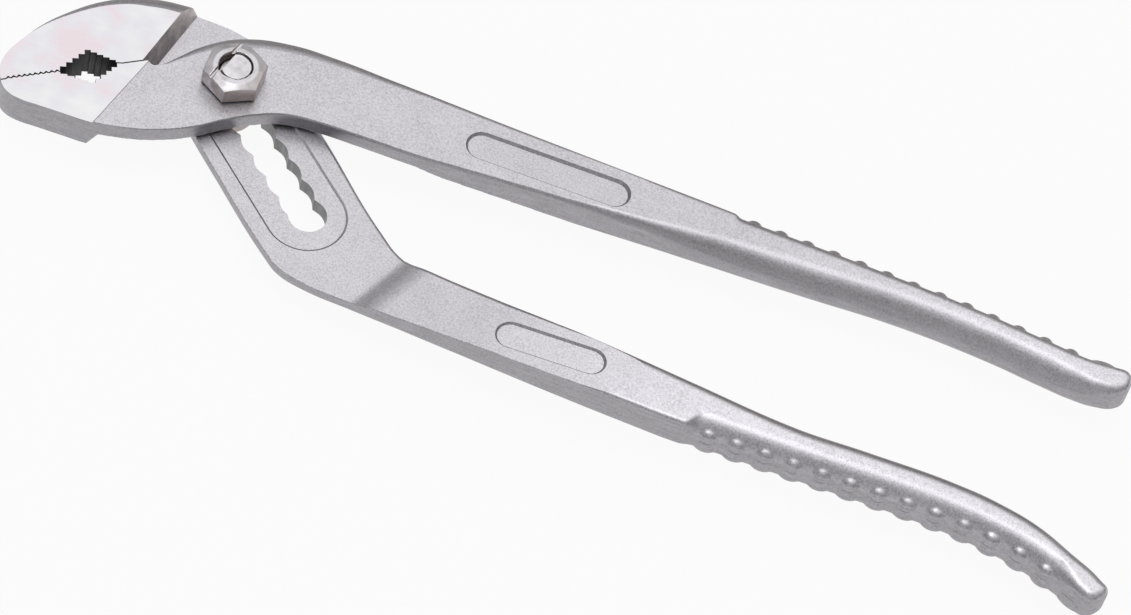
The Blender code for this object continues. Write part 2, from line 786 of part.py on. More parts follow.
def make_bolt(parts, cutters):
    shank = BOLT_DIAMETER / 2
    thread = THREAD_DIAMETER / 2
    head = HEAD_DIAMETER / 2
    top = NUT_TOP - THREAD_SINK
    shoulder = HALF - SHOULDER_DROP
    profile = [
        (0.0, top),
        (thread - THREAD_BEVEL, top),
        (thread, top - THREAD_BEVEL),
        (thread, shoulder),
        (shank, shoulder - (shank - thread)),
        (shank, HEAD_SEAT),
        (head, HEAD_SEAT),
        (head, HEAD_BACK + HEAD_EDGE),
        (head - HEAD_EDGE, HEAD_BACK),
        (0.0, HEAD_BACK),
    ]
    mesh = turned_mesh("pivot_bolt", profile)
    bolt = add_part("pivot_bolt", mesh, parts, steel("bolt_plating", (0.72, 0.71, 0.70), 0.25))
    wide = shank + SKIN
    flat = BOLT_FLATS / 2
    boxes = [
        box_mesh("right_flat", (-wide, flat, HEAD_SEAT), (wide, wide, MATE), SLOT_ANGLE),
        box_mesh("left_flat", (-wide, -wide, HEAD_SEAT), (wide, -flat, MATE), SLOT_ANGLE),
        box_mesh(
            "end_flat", (-wide, THREAD_FLAT, NUT_SEAT), (wide, wide, NUT_TOP + SKIN), GROOVE_TURN
        ),
    ]
    for box in boxes:
        combine(bolt, add_cutter(box.name, box, cutters, bolt))


def make_nut(parts, cutters):
    corner_radius = NUT_FLATS / 2 / math.cos(math.radians(30.0))
    mesh = hexagon_mesh("pivot_nut", corner_radius)
    nut = add_part("pivot_nut", mesh, parts, steel("nut_plating", (0.74, 0.72, 0.70), 0.22))
    crown = NUT_CROWN / 2
    wide = corner_radius + SKIN
    slope = math.tan(math.radians(NUT_CHAMFER))
    below = NUT_SEAT - SKIN
    above = NUT_TOP + SKIN
    dome = [
        (0.0, NUT_TOP + crown * slope),
        (wide, NUT_TOP - (wide - crown) * slope),
        (wide, below),
        (0.0, below),
    ]
    crown_cutter = add_cutter("nut_crown", turned_mesh("nut_crown", dome), cutters, nut)
    combine(nut, crown_cutter, "INTERSECT")
    hole = THREAD_DIAMETER / 2 + THREAD_CLEARANCE
    bore = [
        (0.0, above),
        (hole + NUT_MOUTH + SKIN, above),
        (hole, NUT_TOP - NUT_MOUTH),
        (hole, below),
        (0.0, below),
    ]
    combine(nut, add_cutter("nut_bore", turned_mesh("nut_bore", bore), cutters, nut))
    near = GROOVE_OFFSET - GROOVE_WIDTH / 2
    far = GROOVE_OFFSET + GROOVE_WIDTH / 2
    groove = box_mesh(
        "nut_groove", (-wide, near, NUT_TOP - GROOVE_DEPTH), (wide, far, above), GROOVE_TURN
    )
    combine(nut, add_cutter("nut_groove", groove, cutters, nut))


def main():
    clear_scene()
    parts = new_collection("water_pump_pliers")
    cutters = new_collection("cutters")
    make_slotted_arm(parts, cutters)
    make_bolted_arm(parts, cutters)
    make_bolt(parts, cutters)
    make_nut(parts, cutters)


main()
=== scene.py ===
"""Looks of the water pump pliers: two forged, satin-plated arms, a bolt and a nut.

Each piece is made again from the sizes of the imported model, at a finer grain: the forged shapes
are blended soft first, then the ground, broached and drilled surfaces are cut sharp into them.
"""

import json
import math
from collections import namedtuple

import bmesh
import bpy
from mathutils import Matrix, Vector


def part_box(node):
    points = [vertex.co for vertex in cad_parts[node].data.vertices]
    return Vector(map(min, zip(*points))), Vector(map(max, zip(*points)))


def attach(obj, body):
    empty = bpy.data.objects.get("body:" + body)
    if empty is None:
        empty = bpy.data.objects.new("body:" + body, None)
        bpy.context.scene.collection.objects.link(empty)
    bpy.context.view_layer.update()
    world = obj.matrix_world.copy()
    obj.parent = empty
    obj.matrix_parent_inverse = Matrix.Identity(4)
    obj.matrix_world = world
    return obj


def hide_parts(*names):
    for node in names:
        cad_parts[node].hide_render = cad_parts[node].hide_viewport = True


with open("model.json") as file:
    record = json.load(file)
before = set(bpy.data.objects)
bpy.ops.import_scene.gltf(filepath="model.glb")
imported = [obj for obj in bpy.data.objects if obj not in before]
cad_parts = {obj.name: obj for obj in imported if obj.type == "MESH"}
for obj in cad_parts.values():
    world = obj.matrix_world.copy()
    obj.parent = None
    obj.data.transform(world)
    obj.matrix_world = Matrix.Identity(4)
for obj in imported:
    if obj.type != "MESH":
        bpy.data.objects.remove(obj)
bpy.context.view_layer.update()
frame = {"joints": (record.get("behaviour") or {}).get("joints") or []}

# Sizes are in millimetres and degrees, in a plan whose origin is the bolt's axis: +X runs
# towards the handles, +Z towards the nut, and z = 0 is the plane where the two arms meet.
MM = 0.001
JOINTS = {joint["name"]: joint for joint in frame["joints"]}
MATING_PLANE = JOINTS["jaw_pivot"]["pos_m"][2]
TRAVEL = JOINTS["slot_shift"]["range_m"][1] / MM
SLOT_AXIS = Vector(JOINTS["slot_shift"]["axis"]).xy.normalized()
HEAD_BACK = -MATING_PLANE / MM
NUT_TOP = (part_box("pivot_nut")[1][2] - MATING_PLANE) / MM
NUT_SEAT = (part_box("pivot_nut")[0][2] - MATING_PLANE) / MM
HALF = (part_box("bolted_arm")[1][2] - MATING_PLANE) / MM

# Arms: half the gap between them, what is ground and planed off, and the steps of curves and rounds
MATE = 0.15
JAW_GRIND = 0.35
FACE_SKIM = 0.12
SKIM_END = 100.0
CURVE_STEPS = 12
ROUND_STEPS = 9
BIG_ROUND = 2.5
BIG_ROUND_RUN = 1.5
BIG_ROUND_EASE = 0.1
WELD = 1e-3

# Blending: the remesh's grain, the smoothing passes and the share of faces that is kept
FORGED_GRAIN = 0.28
FORGED_PASSES = 5
FORGED_SHARE = 0.4
TURNED_GRAIN = 0.1
TURNED_PASSES = 3
MELT = 0.5
TWIST = Matrix.Rotation(math.radians(24.0), 4, "Z") @ Matrix.Rotation(math.radians(17.0), 4, "X")
CRISP_ANGLE = 32.0

# Rolled edges: widths along X, the first slope and its growth, and the ends of each stretch, with
# the plate's start measured from the slot's last place
ROLL_STEPS = 6
ROLL_PAST = 0.8
ROLL_LIFT = 0.01
EYE_ROLL_SLOPE = (0.06, 0.3)
EYE_ROLL_ENDS = ((104.0, 11.6), (-14.8, -2.2))
EYE_ROLL = ((-14.8, 0.3), (-9.0, 2.0), (0.0, 3.2), (14.0, 2.8), (40.0, 1.2), (104.0, 0.5))
PLATE_ROLL_SLOPE = (0.1, 0.35)
PLATE_ROLL_START = (70.0, -7.7)
PLATE_ROLL_END = (4.0, 12.4)
PLATE_ROLL = ((0.0, 0.3), (10.0, 0.7), (45.0, 0.7), (70.0, 0.9), (96.0, 0.3))
JAW_ROLL_SLOPE = (0.18, 0.3)
JAW_ROLL_ENDS = ((-11.0, 15.4), (-43.0, -6.6))
JAW_ROLL = ((-43.0, 0.05), (-39.0, 0.7), (-35.0, 1.4), (-30.0, 2.0), (-23.4, 3.1), (-11.0, 3.7))

# Jaws
JAW_ANGLE = 33.6
HEEL = (-18.1, -2.5)
JAW_GAP = 0.3
FINE_TEETH = 10
FINE_PITCH = 1.15
FINE_START = 0.9
UPPER_FINE_DEPTH = 0.5
LOWER_FINE_DEPTH = -0.3
PIPE_LENGTH = 13.3
UPPER_PIPE_DEPTH = 4.3
LOWER_PIPE_DEPTH = 4.0
UPPER_PIPE_APEX = 0.57
LOWER_PIPE_APEX = 0.5
PIPE_STEPS = 5
HEEL_LAND = 5.4
BROACH_TURN = -13.0
BROACH_LEAD = 4.0
BROACH_SPAN = 6.0
JAW_STOCK = 1.0
LOWER_HEEL_NEXT = (-16.6, -3.3)
UPPER_HEEL_NEXT = (-12.6, -3.6)
JAW_RAMP_RUN = 2.2
JAW_END_SKEW = 0.22
JAW_END_STOCK = 0.4
LOWER_JAW_END = -16.7
UPPER_JAW_END = -16.3
LOWER_FACE_END = -17.1
LOWER_FACE_SKEW = 0.27
UPPER_FACE_END = -14.0
GRIND_RUN = 0.35

# Slot
SLOT_PLACES = 7
SLOT_NECK = 3.2
SCALLOP_DEPTH = 0.9
SCALLOP_SHIFT = 2.0
SCALLOP_STEPS = 16
SLOT_END_STEPS = 15
RECESS_DEPTH = 0.4
RECESS_MARGIN = 4.3
RECESS_SHIFT = -0.5
RECESS_SLOPE = 1.6
PLATE_EDGE = 12.5

# Bolt and nut
SHANK = 3.7
SHANK_FLAT = 2.9
BORE = 4.0
HEAD_RADIUS = 6.0
HEAD_EDGE = 0.6
THREAD_ROOT = 3.05
THREAD_HEIGHT = 0.3
THREAD_GAP = 0.4
THREAD_PITCH = 1.0
THREAD_STEPS = 10
THREAD_FLAT = 1.9
THREAD_SINK = 0.25
END_FLAT_DEPTH = 2.2
SHOULDER_DROP = 0.2
SEAT_GAP = 0.3
NUT_FLATS = 12.0
NUT_TURN = -1.3
NUT_CROWN = 4.7
NUT_CHAMFER = 19.5
NUT_MOUTH = 0.12
GROOVE_OFFSET = 2.5
GROOVE_WIDTH = 0.7
GROOVE_DEPTH = 0.7
GROOVE_TURN = 73.6

# Handles
NECK = 1.1
RAMP_LENGTH = 5.6
RAMP_EASE = 2.2
RAMP_STEPS = 8
TAPER_LENGTH = 49.9
TAPER_BEND_AT = 0.5
TAPER_BEND_RISE = 0.62
FRONT_RAMP_START = 41.5
REAR_RAMP_START = 23.4
REAR_RAMP_SKEW = 0.47
BUMP_COUNT = 13
BUMP_SIDES = 24
BUMP_RINGS = 16
# The bumps of the near and the far row: how far inside the edge they turn about, their radius, how
# high they stand, how far they are drawn out along the handle, and their tilt towards the face
BumpRow = namedtuple("BumpRow", "orbit radius height width tilt")
FRONT_BUMPS = (BumpRow(2.8, 1.8, 0.95, 1.1, 10.0), BumpRow(2.8, 1.8, 0.85, 1.0, 25.0))
REAR_BUMPS = (BumpRow(4.6, 2.0, 0.65, 1.1, 20.0), BumpRow(3.4, 1.8, 1.0, 1.55, 25.0))
RIDGE_STRETCH = 2.2
WIDE_ROUND = 4.6
TIGHT_ROUND = 2.5
FRONT_STEP_RUN = 1.2
REAR_STEP_RUN = 2.4
FRONT_GRIP_STEP = 0.1
REAR_GRIP_STEP = 0.2
FRONT_FIRST_BUMP = 4.4
REAR_FIRST_BUMP = 5.1
FRONT_GRIP_START = 108.0
FRONT_BUMP_PITCH = 5.93
FRONT_RIDGE_AT = 190.6
REAR_GRIP_START = 88.0
REAR_BUMP_PITCH = 6.1
REAR_RIDGE_AT = 173.3
POCKET_DEPTH = 0.7
POCKET_LEAN = 0.9
# The pockets' middles and sizes, the rear one from the slot's last place
FRONT_POCKET = (68.0, 5.5, 36.4, 7.3)
REAR_POCKET = (56.85, -13.25, 24.0, 6.9)

# What follows from the sizes above
PIPE_START = FINE_START + FINE_TEETH * FINE_PITCH
PIPE_END = PIPE_START + PIPE_LENGTH
JAW_LENGTH = PIPE_END + HEEL_LAND
SLOT_RADIUS = SLOT_NECK + SCALLOP_DEPTH
SLOT_PITCH = TRAVEL / (SLOT_PLACES - 1)

# How far cutters reach across the arms, past a face and from the mating plane, what counts as a
# level face, and the cuts that are shaded flat, by the start of their materials' names
REACH = 70.0
SKIN = 2.0
TOP = HALF + SKIN
LEVEL_FACE = 0.9
FLAT_CUTS = ("polished", "broached", "machined", "planed")

# Colours of the plating on faces and on walls, the walls' darker tone partly the forged skin and
# partly painted shade; of the bolt's stains, which also serve as painted shade in its hollows and
# on its side towards the handles; of the painted shade on rounds that face away in +Y; and the
# stretches along X over which the grips get a painted highlight, with its gain
FACE = (0.635, 0.62, 0.655)
WALL = (0.38, 0.37, 0.39)
STAIN_AND_SHADE = (0.38, 0.32, 0.3)
FAR_SIDE_SHADE = (0.17, 0.14, 0.135)
FRONT_GRIP_HIGHLIGHT = (110.0, 190.0, 1.28)
REAR_GRIP_HIGHLIGHT = (70.0, 115.0, 1.27)

# Colours of the other steels, in the order of their noise's stops, and of the bolt and the nut
POLISHED = ((0.83, 0.73, 0.77), (0.8, 0.79, 0.83), 0.86)
BROACHED = (0.03, 0.11)
SLOTTED = (0.15, 0.36)
MACHINED = ((0.44, 0.4, 0.395), (0.82, 0.76, 0.755))
BOLT_FACE = (0.8, 0.78, 0.81)
BOLT_WALL = (0.5, 0.48, 0.48)
NUT_FACE = (0.72, 0.7, 0.73)
# The nut's walls are painted lighter than its faces: painted light on walls that get little. Its
# stain colour also gives painted shade in hollows and on the side towards the handles.
NUT_WALL_PAINTED_LIGHT = (0.95, 0.91, 0.92)
NUT_STAIN_AND_SHADE = (0.52, 0.44, 0.41)

# Noises of the finishes: features per metre, detail and roughness, and for the drawn-out ones the
# features per metre along X, Y and Z
GRAIN = (2400.0, 4.0, 0.75)
PATCHES = (150.0, 4.0, 0.6)
FINE_GRAIN = (3500.0, 3.0, 0.6)
CLOUDS = (420.0, 4.0, 0.6)
ROSY_CLOUDS = (120.0, 2.0, 0.5)
STROKES = (1.0, 3.0, 0.6)
SCORES = (1.0, 5.0, 0.7)
WALL_STROKES = (150.0, 1500.0, 1500.0)
JAW_STROKES = (260.0, 1200.0, 1200.0)
SLOT_SCORES = (700.0, 700.0, 160.0)
BROACH_SCORES = (900.0, 900.0, 160.0)
MACHINED_SCORES = (900.0, 260.0, 260.0)

# The rough band up the rear arm's ramp: where it starts, is full, starts to fade and ends
BAND = (-0.5, 1.0, 2.0, 6.8)

# Camera: the photograph's view, with the bolt's axis at its place in the picture, and the clipping
# in metres
PHOTO_WIDTH = 1131.0
PHOTO_HEIGHT = 615.0
PIVOT_PIXEL = (231.0, 90.7)
PIXELS_PER_MM = 4.857
VIEW_ELEVATION = 55.0
VIEW_AZIMUTH = 3.3
VIEW_ROLL = 17.0
VIEW_FIELD = 12.0
CLIP_START = 0.05
CLIP_END = 50.0

# Light, in metres: the sky's stops run from square to the light up to where it comes from, the
# room's from the front to the back
LIGHT_FROM = (0.0, 0.45, 0.893)
SKY = ((0.0, 0.0), (0.5, 0.08), (0.78, 0.5), (0.92, 1.0))
ROOM = ((0.0, 0.9), (0.02, 0.6), (0.06, 0.36), (0.16, 0.28), (0.45, 0.26), (0.6, 0.16), (1.0, 0.09))
LAMP_POWER = 1.5
LAMP_SIZE = 0.5
LAMP_PLACE = (-0.15, 0.1, 1.2)
LAMP_AIM = (0.08, 0.0, 0.0)
FLOOR_SIZE = 6.0
FLOOR_DROP = 0.0004
FLOOR_WHITE = 0.92
PAPER = (0.92, 0.92, 0.92, 1.0)
PAPER_ROUGHNESS = 0.9


# Places on the plan


def on_jaw(s, h):
    """A point s along the parting line from the tips and h above it."""
    angle = math.radians(JAW_ANGLE)
    ahead = s - JAW_LENGTH
    x = HEEL[0] + ahead * math.cos(angle) - h * math.sin(angle)
    y = HEEL[1] + ahead * math.sin(angle) + h * math.cos(angle)
    return x, y


def on_slot(t, n):
    """A point t along the slot from the bolt's first place and n to its right."""
    return t * SLOT_AXIS.x - n * SLOT_AXIS.y, t * SLOT_AXIS.y + n * SLOT_AXIS.x


# A point of an outline: its kind of curve handle, and the rounds on the front and the back edge
Knot = namedtuple("Knot", "x y kind top bottom")


def corner(place, both=0.0):
    return Knot(*place, "VECTOR", both, both)


def smooth(place, top, bottom=None):
    """A knot on a smooth stretch, with one round for both edges unless they differ."""
    return Knot(*place, "AUTO", top, top if bottom is None else bottom)


def stairs(start, end, count):
    """Square broached steps between two points of the parting line's frame."""
    turn = math.radians(BROACH_TURN)
    tread = Vector((math.cos(turn), math.sin(turn)))
    riser = Vector((-math.sin(turn), math.cos(turn)))
    way = Vector(end) - Vector(start)
    run = tread * (way.dot(tread) / count)
    rise = riser * (way.dot(riser) / count)
    points = []
    at = Vector(start)
    for _ in range(count):
        points.append(at.copy())
        points.append(at + rise)
        at = at + rise + run
    return points


def gripping_edge(side):
    """The toothed edge of a jaw from its tip to its heel; side is 1 for the upper jaw."""
    upper = (UPPER_FINE_DEPTH, UPPER_PIPE_DEPTH, UPPER_PIPE_APEX)
    lower = (LOWER_FINE_DEPTH, LOWER_PIPE_DEPTH, LOWER_PIPE_APEX)
    fine_depth, pipe_depth, pipe_apex = upper if side > 0 else lower
    level = side * JAW_GAP / 2
    points = [(0.0, level)]
    for tooth in range(FINE_TEETH):
        start = FINE_START + tooth * FINE_PITCH
        points.append((start, level))
        points.append((start + FINE_PITCH / 2, level + side * fine_depth))
    apex = (PIPE_START + PIPE_LENGTH * pipe_apex, side * pipe_depth)
    points += stairs((PIPE_START, level), apex, PIPE_STEPS)
    points += stairs(apex, (PIPE_END, level), PIPE_STEPS)
    points.append((PIPE_END, level))
    points.append((JAW_LENGTH, level))
    return [on_jaw(*point) for point in points]


def broach_outline(side):
    """What the broach takes off a jaw's blank: all that lies past its toothed edge."""
    level = side * JAW_GAP / 2
    far = -side * BROACH_SPAN
    past = LOWER_HEEL_NEXT if side < 0 else UPPER_HEEL_NEXT
    points = [on_jaw(-BROACH_LEAD, level), *gripping_edge(side), past]
    points += [on_jaw(JAW_LENGTH + SKIN, far), on_jaw(-BROACH_LEAD, far)]
    return points


# Edges of the handles, as (x, y, round on the front edge, round on the back edge)


def front_inner_edge():
    return [
        (19.5, -3.1, 0.5, 0.5),
        (30.0, -2.8, 0.6, 0.6),
        (41.0, -2.7, 0.7, 0.5),
        (53.0, -1.9, 0.9, 0.9),
        (72.0, -0.6, 0.9, 1.3),
        (91.0, 0.2, 2.3, 2.0),
        (108.0, 0.4, 4.4, 2.9),
        (125.0, 0.8, 5.0, 3.3),
        (148.0, 1.8, 5.0, 3.3),
        (168.0, 1.0, 5.0, 3.3),
        (180.0, -0.3, 4.8, 3.3),
        (186.5, -0.7, 4.1, 3.1),
        (191.5, -0.2, 2.8, 2.6),
    ]


def front_outer_edge():
    start = FRONT_GRIP_START
    grip = [(178.0, 8.4), (160.0, 10.0), (135.0, 11.0), (start + FRONT_STEP_RUN, 11.5)]
    return [
        (192.5, 7.4, 1.8, 1.8),
        (187.5, 7.4 - FRONT_GRIP_STEP, 2.2, 2.2),
        *[(x, y - FRONT_GRIP_STEP, TIGHT_ROUND, WIDE_ROUND) for x, y in grip],
        (start, 11.5, 1.2, 1.6),
        (82.0, 12.2, 0.9, 1.2),
        (55.0, 13.0, 0.8, 1.0),
        (31.0, 14.0, 0.6, 0.5),
        (18.5, 14.6, 0.6, 0.6),
    ]


def rear_outer_edge():
    start = REAR_GRIP_START
    grip = [(start + REAR_STEP_RUN, -20.5), (115.0, -20.0), (135.0, -19.6), (147.0, -19.9)]
    grip += [(159.0, -21.5), (168.0, -24.1)]
    return [
        (16.0, -17.3, 0.5, 2.4),
        (26.0, -17.9, 0.5, 2.6),
        (41.0, -18.7, 0.6, 2.4),
        (57.0, -19.5, 0.7, 2.0),
        (73.0, -20.1, 0.9, 1.6),
        (start, -20.5, 1.2, 1.6),
        *[(x, y + REAR_GRIP_STEP, WIDE_ROUND, TIGHT_ROUND) for x, y in grip],
        (173.5, -26.0, 2.2, 2.2),
    ]


def rear_inner_edge():
    return [
        (178.0, -21.1, 2.4, 2.4),
        (170.5, -17.0, 2.8, 2.8),
        (163.0, -13.5, 3.0, 3.0),
        (155.0, -11.4, 3.2, 3.2),
        (145.0, -10.2, 3.3, 3.3),
        (125.0, -10.2, 3.3, 3.3),
        (110.0, -10.6, 3.3, 3.3),
        (85.0, -8.8, 2.6, 2.8),
        (70.0, -7.7, 1.9, 2.2),
        (57.0, -6.9, 1.3, 1.8),
        (41.0, -5.4, 0.9, 1.6),
        (27.0, -3.6, 0.6, 1.6),
        (21.6, -2.4, 1.6, 1.6),
    ]


def from_slot_end(edge):
    """An edge of the rear handle, moved to where the slot's last place is."""
    end_x, end_y = on_slot(TRAVEL, 0.0)
    return [(end_x + x, end_y + y, *rounds) for x, y, *rounds in edge]


def smooth_edge(edge):
    return [smooth((x, y), top, bottom) for x, y, top, bottom in edge]


def front_arm_outline():
    """Lower jaw's blank from heel to tip, belly, inner edge, handle end, outer edge, eye."""
    jaw = [(-0.2, -1.2), (0.4, -3.1), (2.4, -5.3), (6.0, -7.6)]
    jaw += [(JAW_LENGTH - 20.8, -10.3), (JAW_LENGTH - 15.2, -13.7)]
    belly = [(-9.6, -18.4), (-3.3, -14.7), (1.9, -10.4), (7.4, -6.6), (13.1, -4.0)]
    knots = [corner(on_jaw(JAW_LENGTH - 0.7, JAW_STOCK)), corner(on_jaw(-0.1, JAW_STOCK))]
    knots += [smooth(on_jaw(*place), 0.3) for place in jaw]
    knots.append(smooth((-16.5, -21.0), 0.4))
    knots += [smooth(place, 0.5) for place in belly]
    edge = front_inner_edge()
    edge += [(195.7, 1.4, 2.2, 2.2), (197.2, 3.9, 1.8, 1.8), (196.4, 7.0, 1.8, 1.8)]
    edge += front_outer_edge()
    edge += [(8.0, 14.2, 1.1, 0.5), (-1.5, 11.5, 1.2, 0.5), (-8.3, 6.3, 0.9, 0.5)]
    edge += [(-12.6, 0.7, 0.6, 0.5), (-14.8, -2.2, 0.4, 0.4)]
    return knots + smooth_edge(edge) + [corner(LOWER_HEEL_NEXT, 0.3)]


def rear_arm_outline():
    """Upper jaw's blank from tip to heel, left edge of the plate, outer edge, handle end, inner
    edge, right edge of the plate, back of the jaw."""
    left = [(-4.5, 0.9, 1.0), (2.0, 0.4, 2.0), (TRAVEL / 2, 0.0, 2.2), (TRAVEL + 4.5, 0.0, 2.2)]
    right = [(TRAVEL + 10.2, 0.5), (TRAVEL / 2, 0.0), (3.0, 0.5)]
    back = [(4.0, 12.4, 1.6, 1.6), (-3.5, 14.9, 1.8, 1.8), (-11.0, 15.4, 2.6, 2.4)]
    back += [(-16.0, 15.2, 2.8, 3.0), (-23.7, 13.4, 1.5, 2.0), (-30.2, 9.7, 0.9, 1.2)]
    back.append((-37.0, 3.0, 0.5, 0.6))
    nose = [(7.6, 10.1), (1.0, 4.6), (-0.1, 1.6)]
    knots = [corner(on_jaw(-0.1, -JAW_STOCK)), corner(on_jaw(JAW_LENGTH + 1.1, -JAW_STOCK))]
    knots.append(smooth(UPPER_HEEL_NEXT, 0.3))
    knots += [smooth(on_slot(t, inset - PLATE_EDGE), both) for t, inset, both in left]
    handle = [(-1.4, -15.0, 2.3, 2.3), (4.6, -16.5, 2.3, 2.3)]
    handle += rear_outer_edge()
    handle += [(176.5, -27.2, 2.2, 2.2), (179.2, -25.4, 2.0, 2.0), (179.9, -23.0, 2.0, 2.0)]
    handle += rear_inner_edge()
    knots += smooth_edge(from_slot_end(handle))
    knots += [smooth(on_slot(t, PLATE_EDGE - inset), 1.6) for t, inset in right]
    return knots + smooth_edge(back) + [smooth(on_jaw(*place), 0.3) for place in nose]


# Shapes


def mesh_of(bm, name):
    bmesh.ops.recalc_face_normals(bm, faces=bm.faces)
    mesh = bpy.data.meshes.new(name)
    bm.to_mesh(mesh)
    bm.free()
    return mesh


def hold(name, data):
    """An object for its data, linked into the scene."""
    holder = bpy.data.objects.new(name, data)
    bpy.context.scene.collection.objects.link(holder)
    return holder


def let_go(*holders):
    for holder in holders:
        bpy.data.objects.remove(holder)


def evaluated(holder):
    graph = bpy.context.evaluated_depsgraph_get()
    return bpy.data.meshes.new_from_object(holder.evaluated_get(graph))


def outline_points(knots):
    """A closed smooth outline through its knots, as points on the plan, anticlockwise."""
    curve = bpy.data.curves.new("outline", "CURVE")
    curve.dimensions = "2D"
    curve.fill_mode = "NONE"
    curve.resolution_u = CURVE_STEPS
    spline = curve.splines.new("BEZIER")
    spline.bezier_points.add(len(knots) - 1)
    for point, knot in zip(spline.bezier_points, knots):
        point.co = (knot.x, knot.y, 0.0)
        point.handle_left_type = knot.kind
        point.handle_right_type = knot.kind
    spline.use_cyclic_u = True
    holder = hold("outline", curve)
    points = [vertex.co.xy for vertex in evaluated(holder).vertices]
    let_go(holder)
    turning = sum(p.cross(q) for p, q in zip(points, points[1:] + points[:1]))
    if turning < 0:
        points.reverse()
    return points


def rounds_at(knots, place):
    """The two roundings asked for at a point, blended between the knots that it lies between."""
    best = None
    for here, there in zip(knots, knots[1:] + knots[:1]):
        start = Vector((here.x, here.y))
        way = Vector((there.x, there.y)) - start
        share = min(max((place - start).dot(way) / way.length_squared, 0.0), 1.0)
        off = (start + way * share - place).length_squared
        if best is None or off < best[0]:
            ends = ((here.top, there.top), (here.bottom, there.bottom))
            best = (off, [first * (1 - share) + last * share for first, last in ends])
    return best[1]


def forging_mesh(name, knots):
    """An arm at its full thickness: the outline's wall, rounded over to the two flats."""
    points = outline_points(knots)
    count = len(points)
    rounds = [rounds_at(knots, point) for point in points]
    insides = []
    for i in range(count):
        along = (points[(i + 1) % count] - points[i - 1]).normalized()
        insides.append(Vector((-along.y, along.x)))
    turns = [math.radians(90.0 * k / ROUND_STEPS) for k in range(ROUND_STEPS + 1)]
    levels = [(1, 0, turn) for turn in turns] + [(-1, 1, turn) for turn in reversed(turns)]
    rings = []
    for side, column, turn in levels:
        ring = []
        for point, inside, radii in zip(points, insides, rounds):
            radius = radii[column]
            big = min(max((radius - BIG_ROUND) / BIG_ROUND_RUN, 0.0), 1.0)
            power = 1.0 + BIG_ROUND_EASE * big
            place = point + inside * radius * (1.0 - math.sin(turn) ** power)
            z = side * (HALF - radius * (1.0 - max(math.cos(turn), 0.0) ** power))
            ring.append((*place, z))
        rings.append(ring)
    return loft_mesh(name, *rings, weld=WELD)


def loft_mesh(name, *rings, weld=0.0):
    """A closed solid through rings with the same number of points, welded within a distance."""
    bm = bmesh.new()
    rows = [[bm.verts.new(point) for point in ring] for ring in rings]
    bm.faces.new(rows[0])
    bm.faces.new(rows[-1])
    for low, high in zip(rows, rows[1:]):
        for i in range(len(low)):
            j = (i + 1) % len(low)
            bm.faces.new((low[i], low[j], high[j], high[i]))
    if weld:
        bmesh.ops.remove_doubles(bm, verts=bm.verts, dist=weld)
    return mesh_of(bm, name)


def turned_mesh(name, profile, sides=96):
    """A solid of revolution about the bolt's axis, through a run of (r, z) rings."""
    angles = [math.tau * k / sides for k in range(sides)]
    rings = []
    for r, z in profile:
        rings.append([(r * math.cos(a), r * math.sin(a), z) for a in angles])
    return loft_mesh(name, *rings)


def threaded_mesh(name, root, height, low, high, sides=72):
    """A threaded rod about the bolt's axis, with a true helix that fades out at its low end."""
    count = round((high - low) * THREAD_STEPS / THREAD_PITCH)
    rings = []
    for k in range(count + 1):
        z = low + (high - low) * k / count
        fade = min(1.0, (z - low) / THREAD_PITCH)
        ring = []
        for i in range(sides):
            angle = math.tau * i / sides
            phase = (z / THREAD_PITCH - i / sides) % 1.0
            r = root + height * fade * (1.0 - abs(2.0 * phase - 1.0))
            ring.append((r * math.cos(angle), r * math.sin(angle), z))
        rings.append(ring)
    return loft_mesh(name, *rings)


def plan_ring(points, z):
    return [(x, y, z) for x, y in points]


def prism_mesh(name, points, low, high):
    """An outline on the plan, drawn out between two levels."""
    return loft_mesh(name, plan_ring(points, low), plan_ring(points, high))


def box_mesh(name, low, high, turn=0.0):
    """A box between two corners, then turned about the bolt's axis."""
    plan = [(low[0], low[1]), (high[0], low[1]), (high[0], high[1]), (low[0], high[1])]
    mesh = prism_mesh(name, plan, low[2], high[2])
    mesh.transform(Matrix.Rotation(math.radians(turn), 4, "Z"))
    return mesh


def round_ended(length, width, sides=40):
    """The outline of a round-ended shape that lies along X about the origin."""
    radius = width / 2
    reach = length / 2 - radius
    points = []
    for end, start in ((1, -90.0), (-1, 90.0)):
        for i in range(sides + 1):
            angle = math.radians(start + 180.0 * i / sides)
            points.append((end * reach + radius * math.cos(angle), radius * math.sin(angle)))
    return points


# Cutters


def taper_profile():
    """A handle's thinned face past the plates: distance past the ramp's foot, and level."""
    bend = NECK + (HALF - NECK) * TAPER_BEND_RISE
    last = TAPER_LENGTH * (1.0 - TAPER_BEND_AT)
    corners = [
        (-RAMP_LENGTH, -MATE),
        (0.0, -MATE),
        (RAMP_LENGTH, NECK),
        (RAMP_LENGTH + TAPER_LENGTH * TAPER_BEND_AT, bend),
        (RAMP_LENGTH + TAPER_LENGTH + last, HALF + HALF - bend),
    ]
    profile = []
    for before, here, after in zip(corners, corners[1:], corners[2:]):
        at = Vector(here)
        come = (Vector(before) - at).normalized() * RAMP_EASE
        leave = (Vector(after) - at).normalized() * RAMP_EASE
        for k in range(RAMP_STEPS + 1):
            share = k / RAMP_STEPS
            profile.append(tuple(at + come * (1.0 - share) ** 2 + leave * share**2))
    return profile + corners[-1:]


def along_run(points, x):
    """The value and the slope at x, kept within a run of points (x, value, and so on)."""
    x = min(max(x, points[0][0]), points[-1][0])
    for (x0, v0, *_), (x1, v1, *_) in zip(points, points[1:]):
        if x <= x1:
            slope = (v1 - v0) / (x1 - x0)
            return v0 + slope * (x - x0), slope
    raise ValueError("a run needs two points")


